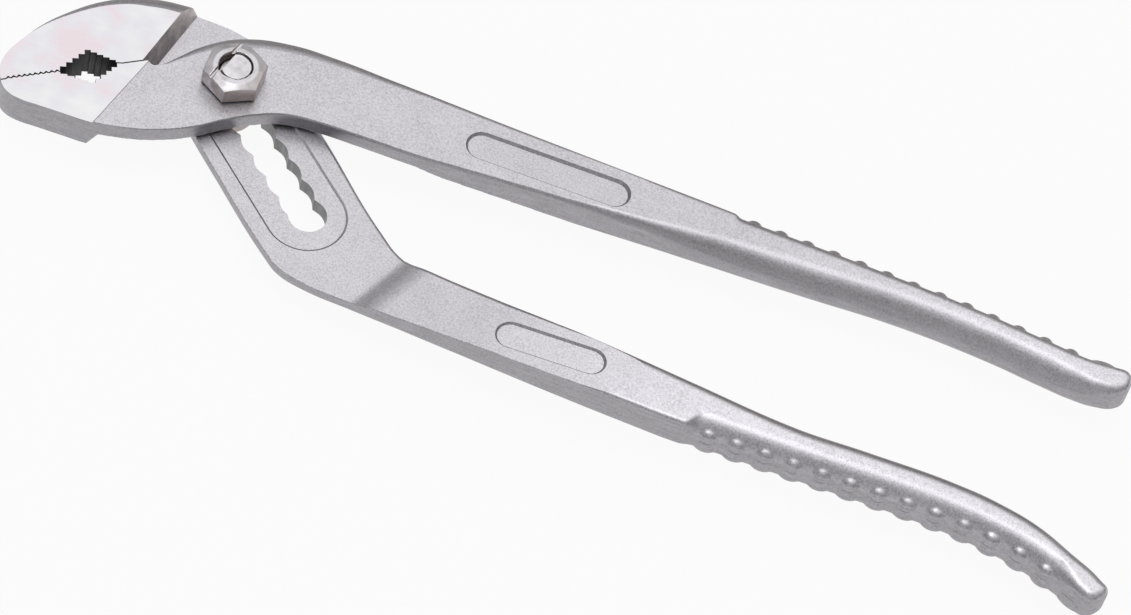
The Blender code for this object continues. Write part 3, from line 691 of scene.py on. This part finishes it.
def relief_mesh(name, side, jaw_end, ramp_start, ramp_skew, sink=0.0):
    """The space that the other arm's plate takes, up the ramp and along the handle's taper."""
    profile = taper_profile()
    rings = []
    for y in (-REACH, REACH):
        left = jaw_end + y * JAW_END_SKEW
        right = ramp_start + y * ramp_skew
        ring = [(left, y, side * (-MATE - sink))]
        ring += [(right + distance, y, side * (level - sink)) for distance, level in profile]
        ring.append((right + profile[-1][0], y, side * TOP))
        ring.append((left - JAW_RAMP_RUN * TOP / HALF, y, side * TOP))
        rings.append(ring)
    return loft_mesh(name, *rings)


def skim_mesh(name):
    """What is planed off the front arm's face, from its jaw to where the grip's rounds begin."""
    low = HALF - FACE_SKIM
    section = [(-REACH, low), (SKIM_END / 2, low), (SKIM_END, HALF), (SKIM_END, TOP), (-REACH, TOP)]
    return loft_mesh(name, *[[(x, y, z) for x, z in section] for y in (-REACH, REACH)])


def outline_run(knots, start, end):
    """The stretch of an outline between its points nearest to two places."""
    points = outline_points(knots)
    ends = []
    for place in (start, end):
        gaps = [(point - Vector(place)).length for point in points]
        ends.append(gaps.index(min(gaps)))
    count = (ends[1] - ends[0]) % len(points)
    return [points[(ends[0] + i) % len(points)] for i in range(count + 1)]


def roll_mesh(name, run, widths, lean, curl, level):
    """What rolls an edge over along a stretch of an outline. The widths are (x, width) pairs, the
    slope grows from lean by twice the curl, and level gives the face's height at a place."""
    last = len(run) - 1
    rings = []
    for i, point in enumerate(run):
        along = (run[min(i + 1, last)] - run[max(i - 1, 0)]).normalized()
        inside = Vector((-along.y, along.x))
        width = along_run(widths, point.x)[0]
        ring = []
        for k in range(ROLL_STEPS + 1):
            depth = (width + ROLL_PAST) * k / ROLL_STEPS
            place = point + inside * (width - depth)
            drop = depth * (lean + curl * depth / width)
            ring.append((*place, level(*point) + ROLL_LIFT - drop))
        ring.append((*(point - inside * ROLL_PAST), TOP))
        ring.append((*(point + inside * width), TOP))
        rings.append(ring)
    return loft_mesh(name, *rings)


def rear_level(x, y):
    """The height of the rear arm's planed face: the plate, its ramp and the handle's taper."""
    distance = x - rear_ramp_start() - y * REAR_RAMP_SKEW
    level = along_run(taper_profile(), distance)[0] if distance > 0.0 else -MATE
    return min(level, HALF) - FACE_SKIM


def rear_ramp_start():
    """Where the rear handle's slanted ramp starts, at y = 0."""
    end_x, end_y = on_slot(TRAVEL, 0.0)
    return end_x + REAR_RAMP_START - end_y * REAR_RAMP_SKEW


def grind_mesh(name, face_end, skew, side):
    """What grinding takes off a jaw's flat, up to a sloped step across the arm."""
    rings = []
    for depth, out in ((JAW_GRIND, 0.0), (-SKIN, GRIND_RUN * (1.0 + SKIN / JAW_GRIND))):
        plan = [(face_end + out + y * skew, y) for y in (-REACH, REACH)]
        plan += [(-REACH, REACH), (-REACH, -REACH)]
        rings.append(plan_ring(plan, side * (HALF - depth)))
    return loft_mesh(name, *rings)


def slot_outline():
    """Scallops at each place on the right, shifted ones on the left, and round ends."""

    def half_width(t, shift):
        past = max(-t, t - TRAVEL)
        if past > 0.0:
            return math.sqrt(max(SLOT_RADIUS**2 - past**2, 0.0))
        near = max(SLOT_RADIUS**2 - past**2, 0.0)
        wave = abs(math.cos(math.pi * (t - shift) / SLOT_PITCH))
        return max(math.sqrt(near), SLOT_NECK + SCALLOP_DEPTH * wave)

    turns = [math.radians(90.0 * i / SLOT_END_STEPS) for i in range(SLOT_END_STEPS + 1)]
    ends = [SLOT_RADIUS * math.cos(turn) for turn in turns]
    steps = SCALLOP_STEPS * (SLOT_PLACES - 1)
    stations = [-end for end in ends]
    stations += [TRAVEL * i / steps for i in range(1, steps)]
    stations += [TRAVEL + end for end in reversed(ends)]
    right = [on_slot(t, half_width(t, 0.0)) for t in stations]
    left = [on_slot(t, -half_width(t, SCALLOP_SHIFT)) for t in stations[1:-1]]
    return right + list(reversed(left))


def recess_mesh(name):
    """The shallow recess round the slot, with a sloping wall."""
    floor = -MATE - RECESS_DEPTH
    rings = []
    for z in (floor, SKIN):
        radius = SLOT_RADIUS + RECESS_MARGIN + (z - floor) * RECESS_SLOPE
        shape = round_ended(TRAVEL + 2 * radius, 2 * radius)
        rings.append([(*on_slot(TRAVEL / 2 + x, RECESS_SHIFT + y), z) for x, y in shape])
    return loft_mesh(name, *rings)


def pocket_mesh(name, x, y, length, width, level, slope):
    """A shallow round-ended pocket with sloping walls, sunk into a face at a level and slope."""
    rings = []
    for depth in (-SKIN, POCKET_DEPTH):
        inset = 2 * POCKET_LEAN * depth
        shape = round_ended(length - inset, width - inset)
        rings.append([(x + px, y + py, level - depth + slope * px) for px, py in shape])
    return loft_mesh(name, *rings)


def bump_mesh(name, edge, out, rows, first, pitch, ridge_at):
    """Two rows of round bumps on a handle's outer shoulders, each with a long ridge at its end."""
    bm = bmesh.new()
    segments = {"u_segments": BUMP_SIDES, "v_segments": BUMP_RINGS}
    stations = [(first + i * pitch, 1.0) for i in range(BUMP_COUNT)]
    stations.append((ridge_at, RIDGE_STRETCH))
    for x, stretch in stations:
        y, slope = along_run(sorted(edge), x)
        along = Vector((1.0, slope, 0.0)).normalized()
        away = Vector((-slope * out, out, 0.0)).normalized()
        for side, row in zip((1, -1), rows):
            tilt = math.radians(row.tilt)
            normal = away * math.cos(tilt) + Vector((0, 0, side * math.sin(tilt)))
            middle = Vector((x, y, side * (HALF - row.orbit))) - away * row.orbit
            centre = middle + normal * (row.orbit + row.height - row.radius)
            across = normal.cross(along)
            length = along * max(stretch, row.width)
            turn = Matrix((length, across, normal)).transposed().to_4x4()
            place = Matrix.Translation(centre) @ turn
            bmesh.ops.create_uvsphere(bm, radius=row.radius, matrix=place, **segments)
    return mesh_of(bm, name)


# Materials


def add_node(tree, kind, inputs=None, **settings):
    """A node with its settings, its inputs given as values or as the sockets that feed them."""
    made = tree.nodes.new(kind)
    for name, value in settings.items():
        setattr(made, name, value)
    for name, value in (inputs or {}).items():
        socket = made.inputs[name]
        if isinstance(value, bpy.types.NodeSocket):
            tree.links.new(value, socket)
        else:
            socket.default_value = value
    return made


def noise(tree, place, scale, detail=3.0, roughness=0.6, stretch=None):
    """Noise whose features are about 1/scale long, in metres, drawn out by stretch."""
    if stretch:
        place = add_node(tree, "ShaderNodeMapping", {"Vector": place, "Scale": stretch}).outputs[0]
    inputs = {"Vector": place, "Scale": scale, "Detail": detail, "Roughness": roughness}
    return add_node(tree, "ShaderNodeTexNoise", inputs).outputs[0]


def ramp(tree, value, *stops):
    """A colour ramp through (position, grey or colour) stops."""
    made = add_node(tree, "ShaderNodeValToRGB", {"Fac": value})
    band = made.color_ramp
    while len(band.elements) < len(stops):
        band.elements.new(0.5)
    for element, (position, colour) in zip(band.elements, stops):
        element.position = position
        element.color = (*colour, 1.0) if isinstance(colour, tuple) else (*[colour] * 3, 1.0)
    return made.outputs[0]


def spread(tree, value, low, high, to_low=0.0, to_high=1.0):
    inputs = {"Value": value, 1: low, 2: high, 3: to_low, 4: to_high}
    return add_node(tree, "ShaderNodeMapRange", inputs).outputs[0]


def blend(tree, factor, first, second):
    """Colours mixed by a factor."""
    made = add_node(tree, "ShaderNodeMix", data_type="RGBA")
    for index, value in ((0, factor), (6, first), (7, second)):
        if isinstance(value, bpy.types.NodeSocket):
            tree.links.new(value, made.inputs[index])
        else:
            made.inputs[index].default_value = (*value, 1.0)
    return made.outputs[2]


def mixed(tree, first, second, share):
    """Two values mixed, with a share of the second."""
    return add_node(tree, "ShaderNodeMix", {0: share, 2: first, 3: second}).outputs[0]


def reckon(tree, operation, first, second=0.0):
    """A sum, product or the like of two values."""
    return add_node(tree, "ShaderNodeMath", {0: first, 1: second}, operation=operation).outputs[0]


def scaled(colour, by):
    return tuple(by * part for part in colour)


def mottled(tree, value, colour, span, dark, light):
    """A colour that a noise shades from its dark to its light share over a span about 0.5."""
    first = (0.5 - span, scaled(colour, dark))
    last = (0.5 + span, scaled(colour, light))
    return ramp(tree, value, first, (0.5, colour), last)


def new_metal(name):
    """A metal with a shader to fill in, and its own coordinates in metres."""
    material = bpy.data.materials.new(name)
    material.use_nodes = True
    tree = material.node_tree
    shader = tree.nodes["Principled BSDF"]
    shader.inputs["Metallic"].default_value = 1.0
    place = add_node(tree, "ShaderNodeTexCoord").outputs["Object"]
    return material, tree, shader, place


def finish_metal(tree, shader, colour, roughness, height, strength, distance):
    inputs = {"Height": height, "Strength": strength, "Distance": distance}
    bump = add_node(tree, "ShaderNodeBump", inputs)
    tree.links.new(colour, shader.inputs["Base Color"])
    tree.links.new(roughness, shader.inputs["Roughness"])
    tree.links.new(bump.outputs[0], shader.inputs["Normal"])


def facing(tree):
    """The parts of the piece's own normal along X, Y and Z."""
    normal = add_node(tree, "ShaderNodeTexCoord").outputs["Normal"]
    return add_node(tree, "ShaderNodeSeparateXYZ", {0: normal}).outputs


def flatness(tree, low, high):
    """One on faces that look straight up or down, falling to nothing on the walls."""
    return spread(tree, reckon(tree, "ABSOLUTE", facing(tree)[2]), low, high)


def satin_plating(name, grip_highlight, band=None):
    """Plating over a forged and shot-blasted arm: speckled and cloudy on its faces, darker and
    streaked along its walls, that darkness partly the forged skin and partly painted shade, and
    with painted shade on rounds that face away in +Y. Its faces get a painted highlight that
    brightens them towards the grip, from a place along X to another and by a gain. A band is a
    rough stretch across the arm: its place along X and how it leans."""
    material, tree, shader, place = new_metal(name)
    parts = add_node(tree, "ShaderNodeSeparateXYZ", {0: place})
    grain = noise(tree, place, *GRAIN)
    patches = noise(tree, place, *PATCHES)
    streaks = noise(tree, place, *STROKES, WALL_STROKES)
    speckle = mixed(tree, grain, patches, 0.16)
    faces = mottled(tree, speckle, FACE, 0.14, 0.72, 1.22)
    start, end, gain = grip_highlight
    # Painted highlight: the faces grow brighter along X towards the grip, by the gain.
    highlight_gain = spread(tree, parts.outputs[0], start * MM, end * MM, 1.0, gain)
    inputs = {0: faces, "Scale": highlight_gain}
    faces = add_node(tree, "ShaderNodeVectorMath", inputs, operation="SCALE").outputs[0]
    scale = mixed(tree, grain, streaks, 0.28)
    walls = mottled(tree, scale, WALL, 0.12, 0.74, 1.22)
    # The walls' darker colour is partly the forged skin and partly painted shade.
    colour = blend(tree, flatness(tree, 0.3, 0.9), walls, faces)
    # Painted shade on rounds that face away in +Y and upward, darkened towards its colour.
    turned = facing(tree)
    away = spread(tree, turned[1], 0.08, 0.5, 0.0, 0.75)
    upward = spread(tree, turned[2], 0.1, 0.5)
    colour = blend(tree, reckon(tree, "MULTIPLY", away, upward), colour, FAR_SIDE_SHADE)
    if band:
        foot, lean = band
        slid = reckon(tree, "MULTIPLY", parts.outputs[1], -lean)
        across = reckon(tree, "ADD", parts.outputs[0], slid)
        starts, full, fades, ends = [foot + stop * MM for stop in BAND]
        rise = spread(tree, across, starts, full)
        fall = spread(tree, across, ends, fades)
        rough = ramp(tree, grain, (0.35, scaled(WALL, 0.75)), (0.7, scaled(FACE, 0.8)))
        colour = blend(tree, reckon(tree, "MULTIPLY", rise, fall), colour, rough)
    roughness = spread(tree, speckle, 0.38, 0.62, 0.34, 0.46)
    finish_metal(tree, shader, colour, roughness, scale, 0.6, 6e-5)
    return material


def polished_steel(name):
    """A ground and polished jaw face, clouded with faint rosy patches."""
    material, tree, shader, place = new_metal(name)
    cloud = noise(tree, place, *ROSY_CLOUDS)
    strokes = noise(tree, place, *STROKES, JAW_STROKES)
    stain = mixed(tree, cloud, strokes, 0.12)
    colour = ramp(tree, stain, *zip((0.36, 0.48, 0.66), POLISHED))
    roughness = spread(tree, strokes, 0.35, 0.65, 0.2, 0.14)
    finish_metal(tree, shader, colour, roughness, strokes, 0.15, 1e-5)
    return material


def rough_steel(name, dark, light, stretch):
    """A machined or broached surface, dark and scored."""
    material, tree, shader, place = new_metal(name)
    scores = noise(tree, place, *SCORES, stretch)
    colour = ramp(tree, scores, (0.34, dark), (0.66, light))
    roughness = spread(tree, scores, 0.3, 0.7, 0.42, 0.6)
    finish_metal(tree, shader, colour, roughness, scores, 0.8, 4e-5)
    return material


def bright_plating(name, face, wall, stain):
    """Smooth plating on a turned piece, with painted highlights on its edges and painted shade in
    its hollows and on the side that faces the handles."""
    material, tree, shader, place = new_metal(name)
    cloud = noise(tree, place, *CLOUDS)
    grain = noise(tree, place, *FINE_GRAIN)
    faces = ramp(tree, cloud, (0.34, scaled(face, 0.75)), (0.6, face))
    walls = ramp(tree, cloud, (0.34, stain), (0.62, wall))
    colour = blend(tree, flatness(tree, 0.72, 0.96), walls, faces)
    # Painted shade: the side that faces the handles, along +X, darkens towards the stain colour.
    handle_side_shade = spread(tree, facing(tree)[0], 0.15, 0.4, 0.0, 0.7)
    colour = blend(tree, handle_side_shade, colour, stain)
    # Painted shade in hollows and painted highlights on ridges, both by pointiness.
    edge = add_node(tree, "ShaderNodeNewGeometry").outputs["Pointiness"]
    hollow_shade = spread(tree, edge, 0.49, 0.44, 0.0, 0.35)
    colour = blend(tree, hollow_shade, colour, stain)
    ridge = spread(tree, edge, 0.52, 0.58, 0.0, 0.5)
    colour = blend(tree, ridge, colour, scaled(face, 1.15))
    roughness = spread(tree, cloud, 0.3, 0.7, 0.42, 0.3)
    finish_metal(tree, shader, colour, roughness, grain, 0.25, 8e-6)
    return material


# Pieces


def shape_up(name, blank, soft, grain, passes, share=1.0, sharp=()):
    """A piece from its blank: soft cuts and joins, blended by a fine remesh and smoothing and
    thinned out to a share of the faces, then sharp cuts that keep their own materials. Each soft
    step is (mesh, operation), and each sharp cut a mesh. The work is done at a twist, so that no
    long edge runs along the grain."""
    blank.transform(TWIST)
    holder = hold(name, blank)
    cutters = []

    def combine(mesh, operation):
        mesh.transform(TWIST)
        cutter = hold(mesh.name, mesh)
        cutter.hide_render = True
        cutters.append(cutter)
        step = holder.modifiers.new(mesh.name, "BOOLEAN")
        step.operation = operation
        step.solver = "MANIFOLD"
        step.material_mode = "TRANSFER"
        step.object = cutter

    for mesh, operation in soft:
        combine(mesh, operation)
    remesh = holder.modifiers.new("grain", "REMESH")
    remesh.mode = "VOXEL"
    remesh.voxel_size = grain
    melt = holder.modifiers.new("melt", "SMOOTH")
    melt.factor = MELT
    melt.iterations = passes
    if share < 1.0:
        thin = holder.modifiers.new("thin", "DECIMATE")
        thin.ratio = share
    for mesh in sharp:
        combine(mesh, "DIFFERENCE")
    mesh = evaluated(holder)
    let_go(holder, *cutters)
    to_frame = Matrix.Translation((0, 0, MATING_PLANE)) @ Matrix.Scale(MM, 4)
    mesh.transform(to_frame @ TWIST.inverted())
    mesh.shade_smooth()
    mesh.set_sharp_from_angle(angle=math.radians(CRISP_ANGLE))
    for face in mesh.polygons:
        face.use_smooth = not mesh.materials[face.material_index].name.startswith(FLAT_CUTS)
    return mesh


def painted(mesh, level, steep=None):
    """A mesh in one material, or with another on all its steep faces."""
    mesh.materials.clear()
    mesh.materials.append(level)
    if steep:
        mesh.materials.append(steep)
        for face in mesh.polygons:
            face.material_index = int(abs(face.normal.z) < LEVEL_FACE)
    return mesh


def add_piece(name, mesh, node, body):
    piece = hold(name, mesh)
    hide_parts(node)
    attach(piece, body)


def jaw_cuts(name, jaw, face_end, skew, polish, broached, machined):
    """The teeth of a jaw and the grinding of its two flats; jaw is 1 for the upper one."""
    teeth = prism_mesh(name + "_teeth", broach_outline(jaw), -TOP, TOP)
    cuts = [painted(teeth, broached)]
    for side in (1, -1):
        ground = grind_mesh(name + "_grind", face_end, skew, side)
        cuts.append(painted(ground, polish, machined))
    return cuts


def make_bolted_arm(polish, broached, machined):
    plating = satin_plating("front_satin_plating", FRONT_GRIP_HIGHLIGHT)
    planed = satin_plating("planed_front_plating", FRONT_GRIP_HIGHLIGHT)
    blank = painted(forging_mesh("front_blank", front_arm_outline()), plating)
    jaw_end = LOWER_JAW_END + JAW_END_STOCK
    first = FRONT_GRIP_START + FRONT_FIRST_BUMP
    places = (first, FRONT_BUMP_PITCH, FRONT_RIDGE_AT)
    bumps = bump_mesh("front_bumps", front_outer_edge(), 1, FRONT_BUMPS, *places)
    soft = [
        (relief_mesh("front_relief", -1, jaw_end, FRONT_RAMP_START, 0.0), "DIFFERENCE"),
        (bumps, "UNION"),
    ]
    bore = turned_mesh("front_bore", [(BORE, -TOP), (BORE, TOP)])
    mate = relief_mesh("front_mate", -1, LOWER_JAW_END, FRONT_RAMP_START, 0.0, FACE_SKIM)
    run = outline_run(front_arm_outline(), *EYE_ROLL_ENDS)
    roll = roll_mesh("eye_roll", run, EYE_ROLL, *EYE_ROLL_SLOPE, lambda x, y: HALF - FACE_SKIM)
    sharp = [
        painted(skim_mesh("front_skim"), planed),
        painted(pocket_mesh("front_pocket", *FRONT_POCKET, HALF, 0.0), planed),
        painted(roll, plating),
        painted(mate, planed, machined),
        painted(bore, machined),
    ]
    sharp += jaw_cuts("lower", -1, LOWER_FACE_END, LOWER_FACE_SKEW, polish, broached, machined)
    mesh = shape_up("front_arm", blank, soft, FORGED_GRAIN, FORGED_PASSES, FORGED_SHARE, sharp)
    add_piece("front_arm", mesh, "bolted_arm", "bolted_arm")


def make_slotted_arm(polish, broached, machined):
    slotted = rough_steel("slot_steel", *SLOTTED, SLOT_SCORES)
    ramp_start = rear_ramp_start()
    band = (ramp_start * MM, REAR_RAMP_SKEW)
    plating = satin_plating("rear_satin_plating", REAR_GRIP_HIGHLIGHT, band)
    planed = satin_plating("planed_rear_plating", REAR_GRIP_HIGHLIGHT, band)
    blank = painted(forging_mesh("rear_blank", rear_arm_outline()), plating)
    jaw_end = UPPER_JAW_END + JAW_END_STOCK
    end_x, end_y = on_slot(TRAVEL, 0.0)
    x, y, length, width = REAR_POCKET
    distance = x - REAR_RAMP_START - y * REAR_RAMP_SKEW
    sunk_at, slope = along_run(taper_profile(), distance)
    edge = from_slot_end(rear_outer_edge())
    first = end_x + REAR_GRIP_START + REAR_FIRST_BUMP
    places = (first, REAR_BUMP_PITCH, end_x + REAR_RIDGE_AT)
    bumps = bump_mesh("rear_bumps", edge, -1, REAR_BUMPS, *places)
    pocket = pocket_mesh("rear_pocket", end_x + x, end_y + y, length, width, sunk_at, slope)
    relief = relief_mesh("rear_relief", 1, jaw_end, ramp_start, REAR_RAMP_SKEW)
    soft = [(relief, "DIFFERENCE"), (bumps, "UNION")]
    recess = recess_mesh("slot_recess")
    slot = prism_mesh("slot", slot_outline(), -TOP, SKIN)
    mate = relief_mesh("rear_mate", 1, UPPER_JAW_END, ramp_start, REAR_RAMP_SKEW, FACE_SKIM)
    knots = rear_arm_outline()
    start = (end_x + PLATE_ROLL_START[0], end_y + PLATE_ROLL_START[1])
    run = outline_run(knots, start, PLATE_ROLL_END)
    plate_roll = roll_mesh("plate_roll", run, PLATE_ROLL, *PLATE_ROLL_SLOPE, rear_level)
    run = outline_run(knots, *JAW_ROLL_ENDS)
    jaw_level = HALF - JAW_GRIND
    jaw_roll = roll_mesh("jaw_roll", run, JAW_ROLL, *JAW_ROLL_SLOPE, lambda x, y: jaw_level)
    sharp = [
        painted(mate, planed, machined),
        painted(pocket, planed),
        painted(plate_roll, plating),
        painted(jaw_roll, plating),
        painted(recess, planed),
        painted(slot, slotted),
    ]
    sharp += jaw_cuts("upper", 1, UPPER_FACE_END, 0.0, polish, broached, machined)
    mesh = shape_up("rear_arm", blank, soft, FORGED_GRAIN, FORGED_PASSES, FORGED_SHARE, sharp)
    add_piece("rear_arm", mesh, "slotted_arm", "slotted_arm")


def make_bolt():
    top = NUT_TOP - THREAD_SINK
    seat = -HALF - SEAT_GAP
    shoulder = HALF - SHOULDER_DROP
    crest = THREAD_ROOT + THREAD_HEIGHT
    profile = [
        (THREAD_ROOT, NUT_SEAT),
        (crest, shoulder),
        (SHANK, shoulder - (SHANK - crest)),
        (SHANK, seat),
        (HEAD_RADIUS, seat),
        (HEAD_RADIUS, HEAD_BACK + HEAD_EDGE),
        (HEAD_RADIUS - HEAD_EDGE, HEAD_BACK),
    ]
    plating = bright_plating("bolt_bright_plating", BOLT_FACE, BOLT_WALL, STAIN_AND_SHADE)
    blank = painted(turned_mesh("bolt_blank", profile), plating)
    thread = threaded_mesh("bolt_thread", THREAD_ROOT, THREAD_HEIGHT, shoulder, top)
    wide = SHANK + SKIN
    angle = math.degrees(math.atan2(SLOT_AXIS.y, SLOT_AXIS.x))
    right = box_mesh("right_flat", (-wide, SHANK_FLAT, seat), (wide, wide, MATE), angle)
    left = box_mesh("left_flat", (-wide, -wide, seat), (wide, -SHANK_FLAT, MATE), angle)
    low = (-wide, THREAD_FLAT, NUT_TOP - END_FLAT_DEPTH)
    end = box_mesh("end_flat", low, (wide, wide, NUT_TOP + SKIN), GROOVE_TURN)
    soft = [(thread, "UNION"), (right, "DIFFERENCE"), (left, "DIFFERENCE"), (end, "DIFFERENCE")]
    mesh = shape_up("bolt", blank, soft, TURNED_GRAIN, TURNED_PASSES)
    add_piece("bolt", mesh, "pivot_bolt", "pivot")


def make_nut():
    corner_radius = NUT_FLATS / 2 / math.cos(math.radians(30.0))
    wide = corner_radius + SKIN
    slope = math.tan(math.radians(NUT_CHAMFER))
    below = NUT_SEAT - SKIN
    above = NUT_TOP + SKIN
    turns = [math.radians(NUT_TURN + 30.0 + 60.0 * k) for k in range(6)]
    plan = [(corner_radius * math.cos(a), corner_radius * math.sin(a)) for a in turns]
    plating = bright_plating("nut_bright_plating", NUT_FACE, NUT_WALL_PAINTED_LIGHT, NUT_STAIN_AND_SHADE)
    blank = painted(prism_mesh("nut_blank", plan, NUT_SEAT, NUT_TOP), plating)
    dome = [(wide, below), (wide, NUT_TOP - (wide - NUT_CROWN) * slope)]
    dome.append((NUT_CROWN - SKIN / slope, above))
    crest = THREAD_ROOT + THREAD_GAP
    bore = threaded_mesh("nut_thread", crest, THREAD_HEIGHT, below, above)
    deep = crest + THREAD_HEIGHT / 2
    sink = [(deep, NUT_TOP - NUT_MOUTH), (deep + NUT_MOUTH + SKIN, above)]
    mouth = turned_mesh("nut_mouth", sink)
    near = GROOVE_OFFSET - GROOVE_WIDTH / 2
    far = GROOVE_OFFSET + GROOVE_WIDTH / 2
    low = (-wide, near, NUT_TOP - GROOVE_DEPTH)
    groove = box_mesh("nut_groove", low, (wide, far, above), GROOVE_TURN)
    soft = [
        (turned_mesh("nut_crown", dome), "INTERSECT"),
        (bore, "DIFFERENCE"),
        (mouth, "DIFFERENCE"),
        (groove, "DIFFERENCE"),
    ]
    mesh = shape_up("nut", blank, soft, TURNED_GRAIN, TURNED_PASSES)
    add_piece("nut", mesh, "pivot_nut", "pivot")


# Studio


def set_camera():
    """The photograph's view: the bolt's axis falls on its pixel, at the mating plane's height."""
    rise = math.radians(VIEW_ELEVATION)
    turn = math.radians(VIEW_AZIMUTH)
    roll = math.radians(VIEW_ROLL)
    back = Vector(
        (math.sin(turn) * math.cos(rise), -math.cos(turn) * math.cos(rise), math.sin(rise))
    )
    level = Vector((math.cos(turn), math.sin(turn), 0.0))
    upright = back.cross(level)
    right = level * math.cos(roll) + upright * math.sin(roll)
    up = upright * math.cos(roll) - level * math.sin(roll)
    focal = PHOTO_WIDTH / 2 / math.tan(math.radians(VIEW_FIELD) / 2)
    distance = focal / PIXELS_PER_MM * MM
    x = (PIVOT_PIXEL[0] - PHOTO_WIDTH / 2) / focal
    y = (PHOTO_HEIGHT / 2 - PIVOT_PIXEL[1]) / focal
    ray = right * x + up * y - back
    far = distance * back.z / -ray.z
    pivot = Vector((0.0, 0.0, MATING_PLANE))
    data = bpy.data.cameras.new("camera")
    data.sensor_fit = "HORIZONTAL"
    data.angle = math.radians(VIEW_FIELD)
    data.clip_start = CLIP_START
    data.clip_end = CLIP_END
    camera = hold("camera", data)
    axes = Matrix((right, up, back)).transposed().to_4x4()
    camera.matrix_world = Matrix.Translation(pivot - ray * far) @ axes
    bpy.context.scene.camera = camera


def set_floor():
    """White paper for the camera and in the metal, and still with the object's shadow on it."""
    bm = bmesh.new()
    bmesh.ops.create_grid(bm, x_segments=1, y_segments=1, size=FLOOR_SIZE)
    floor = hold("floor", mesh_of(bm, "floor"))
    floor.location.z = -FLOOR_DROP
    material = bpy.data.materials.new("floor_paper")
    material.use_nodes = True
    tree = material.node_tree
    paper = tree.nodes["Principled BSDF"]
    paper.inputs["Base Color"].default_value = PAPER
    paper.inputs["Roughness"].default_value = PAPER_ROUGHNESS
    paper.inputs["Specular IOR Level"].default_value = 0.0
    white = add_node(tree, "ShaderNodeEmission")
    path = add_node(tree, "ShaderNodeLightPath").outputs
    seen = path["Is Camera Ray"]
    for ray in ("Is Glossy Ray", "Is Transmission Ray"):
        seen = reckon(tree, "MAXIMUM", seen, path[ray])
    share = reckon(tree, "MULTIPLY", seen, FLOOR_WHITE)
    inputs = {0: share, 1: paper.outputs[0], 2: white.outputs[0]}
    surface = add_node(tree, "ShaderNodeMixShader", inputs)
    tree.links.new(surface.outputs[0], tree.nodes["Material Output"].inputs["Surface"])
    floor.data.materials.append(material)


def set_light():
    """A broad soft light from above and behind, over a darker room, and a small soft lamp."""
    world = bpy.data.worlds.new("studio")
    world.use_nodes = True
    tree = world.node_tree
    direction = add_node(tree, "ShaderNodeTexCoord").outputs["Generated"]
    inputs = {0: direction, 1: LIGHT_FROM}
    toward = add_node(tree, "ShaderNodeVectorMath", inputs, operation="DOT_PRODUCT")
    depth = add_node(tree, "ShaderNodeSeparateXYZ", {0: direction}).outputs[1]
    room = ramp(tree, spread(tree, depth, -1.0, 1.0), *ROOM)
    light = ramp(tree, toward.outputs["Value"], *SKY)
    sky = blend(tree, light, room, (1.0, 1.0, 1.0))
    tree.links.new(sky, tree.nodes["Background"].inputs["Color"])
    bpy.context.scene.world = world
    lamp = bpy.data.lights.new("soft_lamp", "AREA")
    lamp.shape = "DISK"
    lamp.size = LAMP_SIZE
    lamp.energy = LAMP_POWER
    holder = hold("soft_lamp", lamp)
    holder.location = LAMP_PLACE
    aim = Vector(LAMP_AIM) - holder.location
    holder.rotation_euler = aim.to_track_quat("-Z", "Y").to_euler()


def main():
    let_go(*[thing for thing in bpy.data.objects if thing.type in ("LIGHT", "CAMERA")])
    set_camera()
    polish = polished_steel("polished_jaw")
    broached = rough_steel("broached_steel", *BROACHED, BROACH_SCORES)
    machined = rough_steel("machined_steel", *MACHINED, MACHINED_SCORES)
    make_slotted_arm(polish, broached, machined)
    make_bolted_arm(polish, broached, machined)
    make_bolt()
    make_nut()
    set_floor()
    set_light()
    bpy.context.scene.view_settings.view_transform = "Standard"


main()
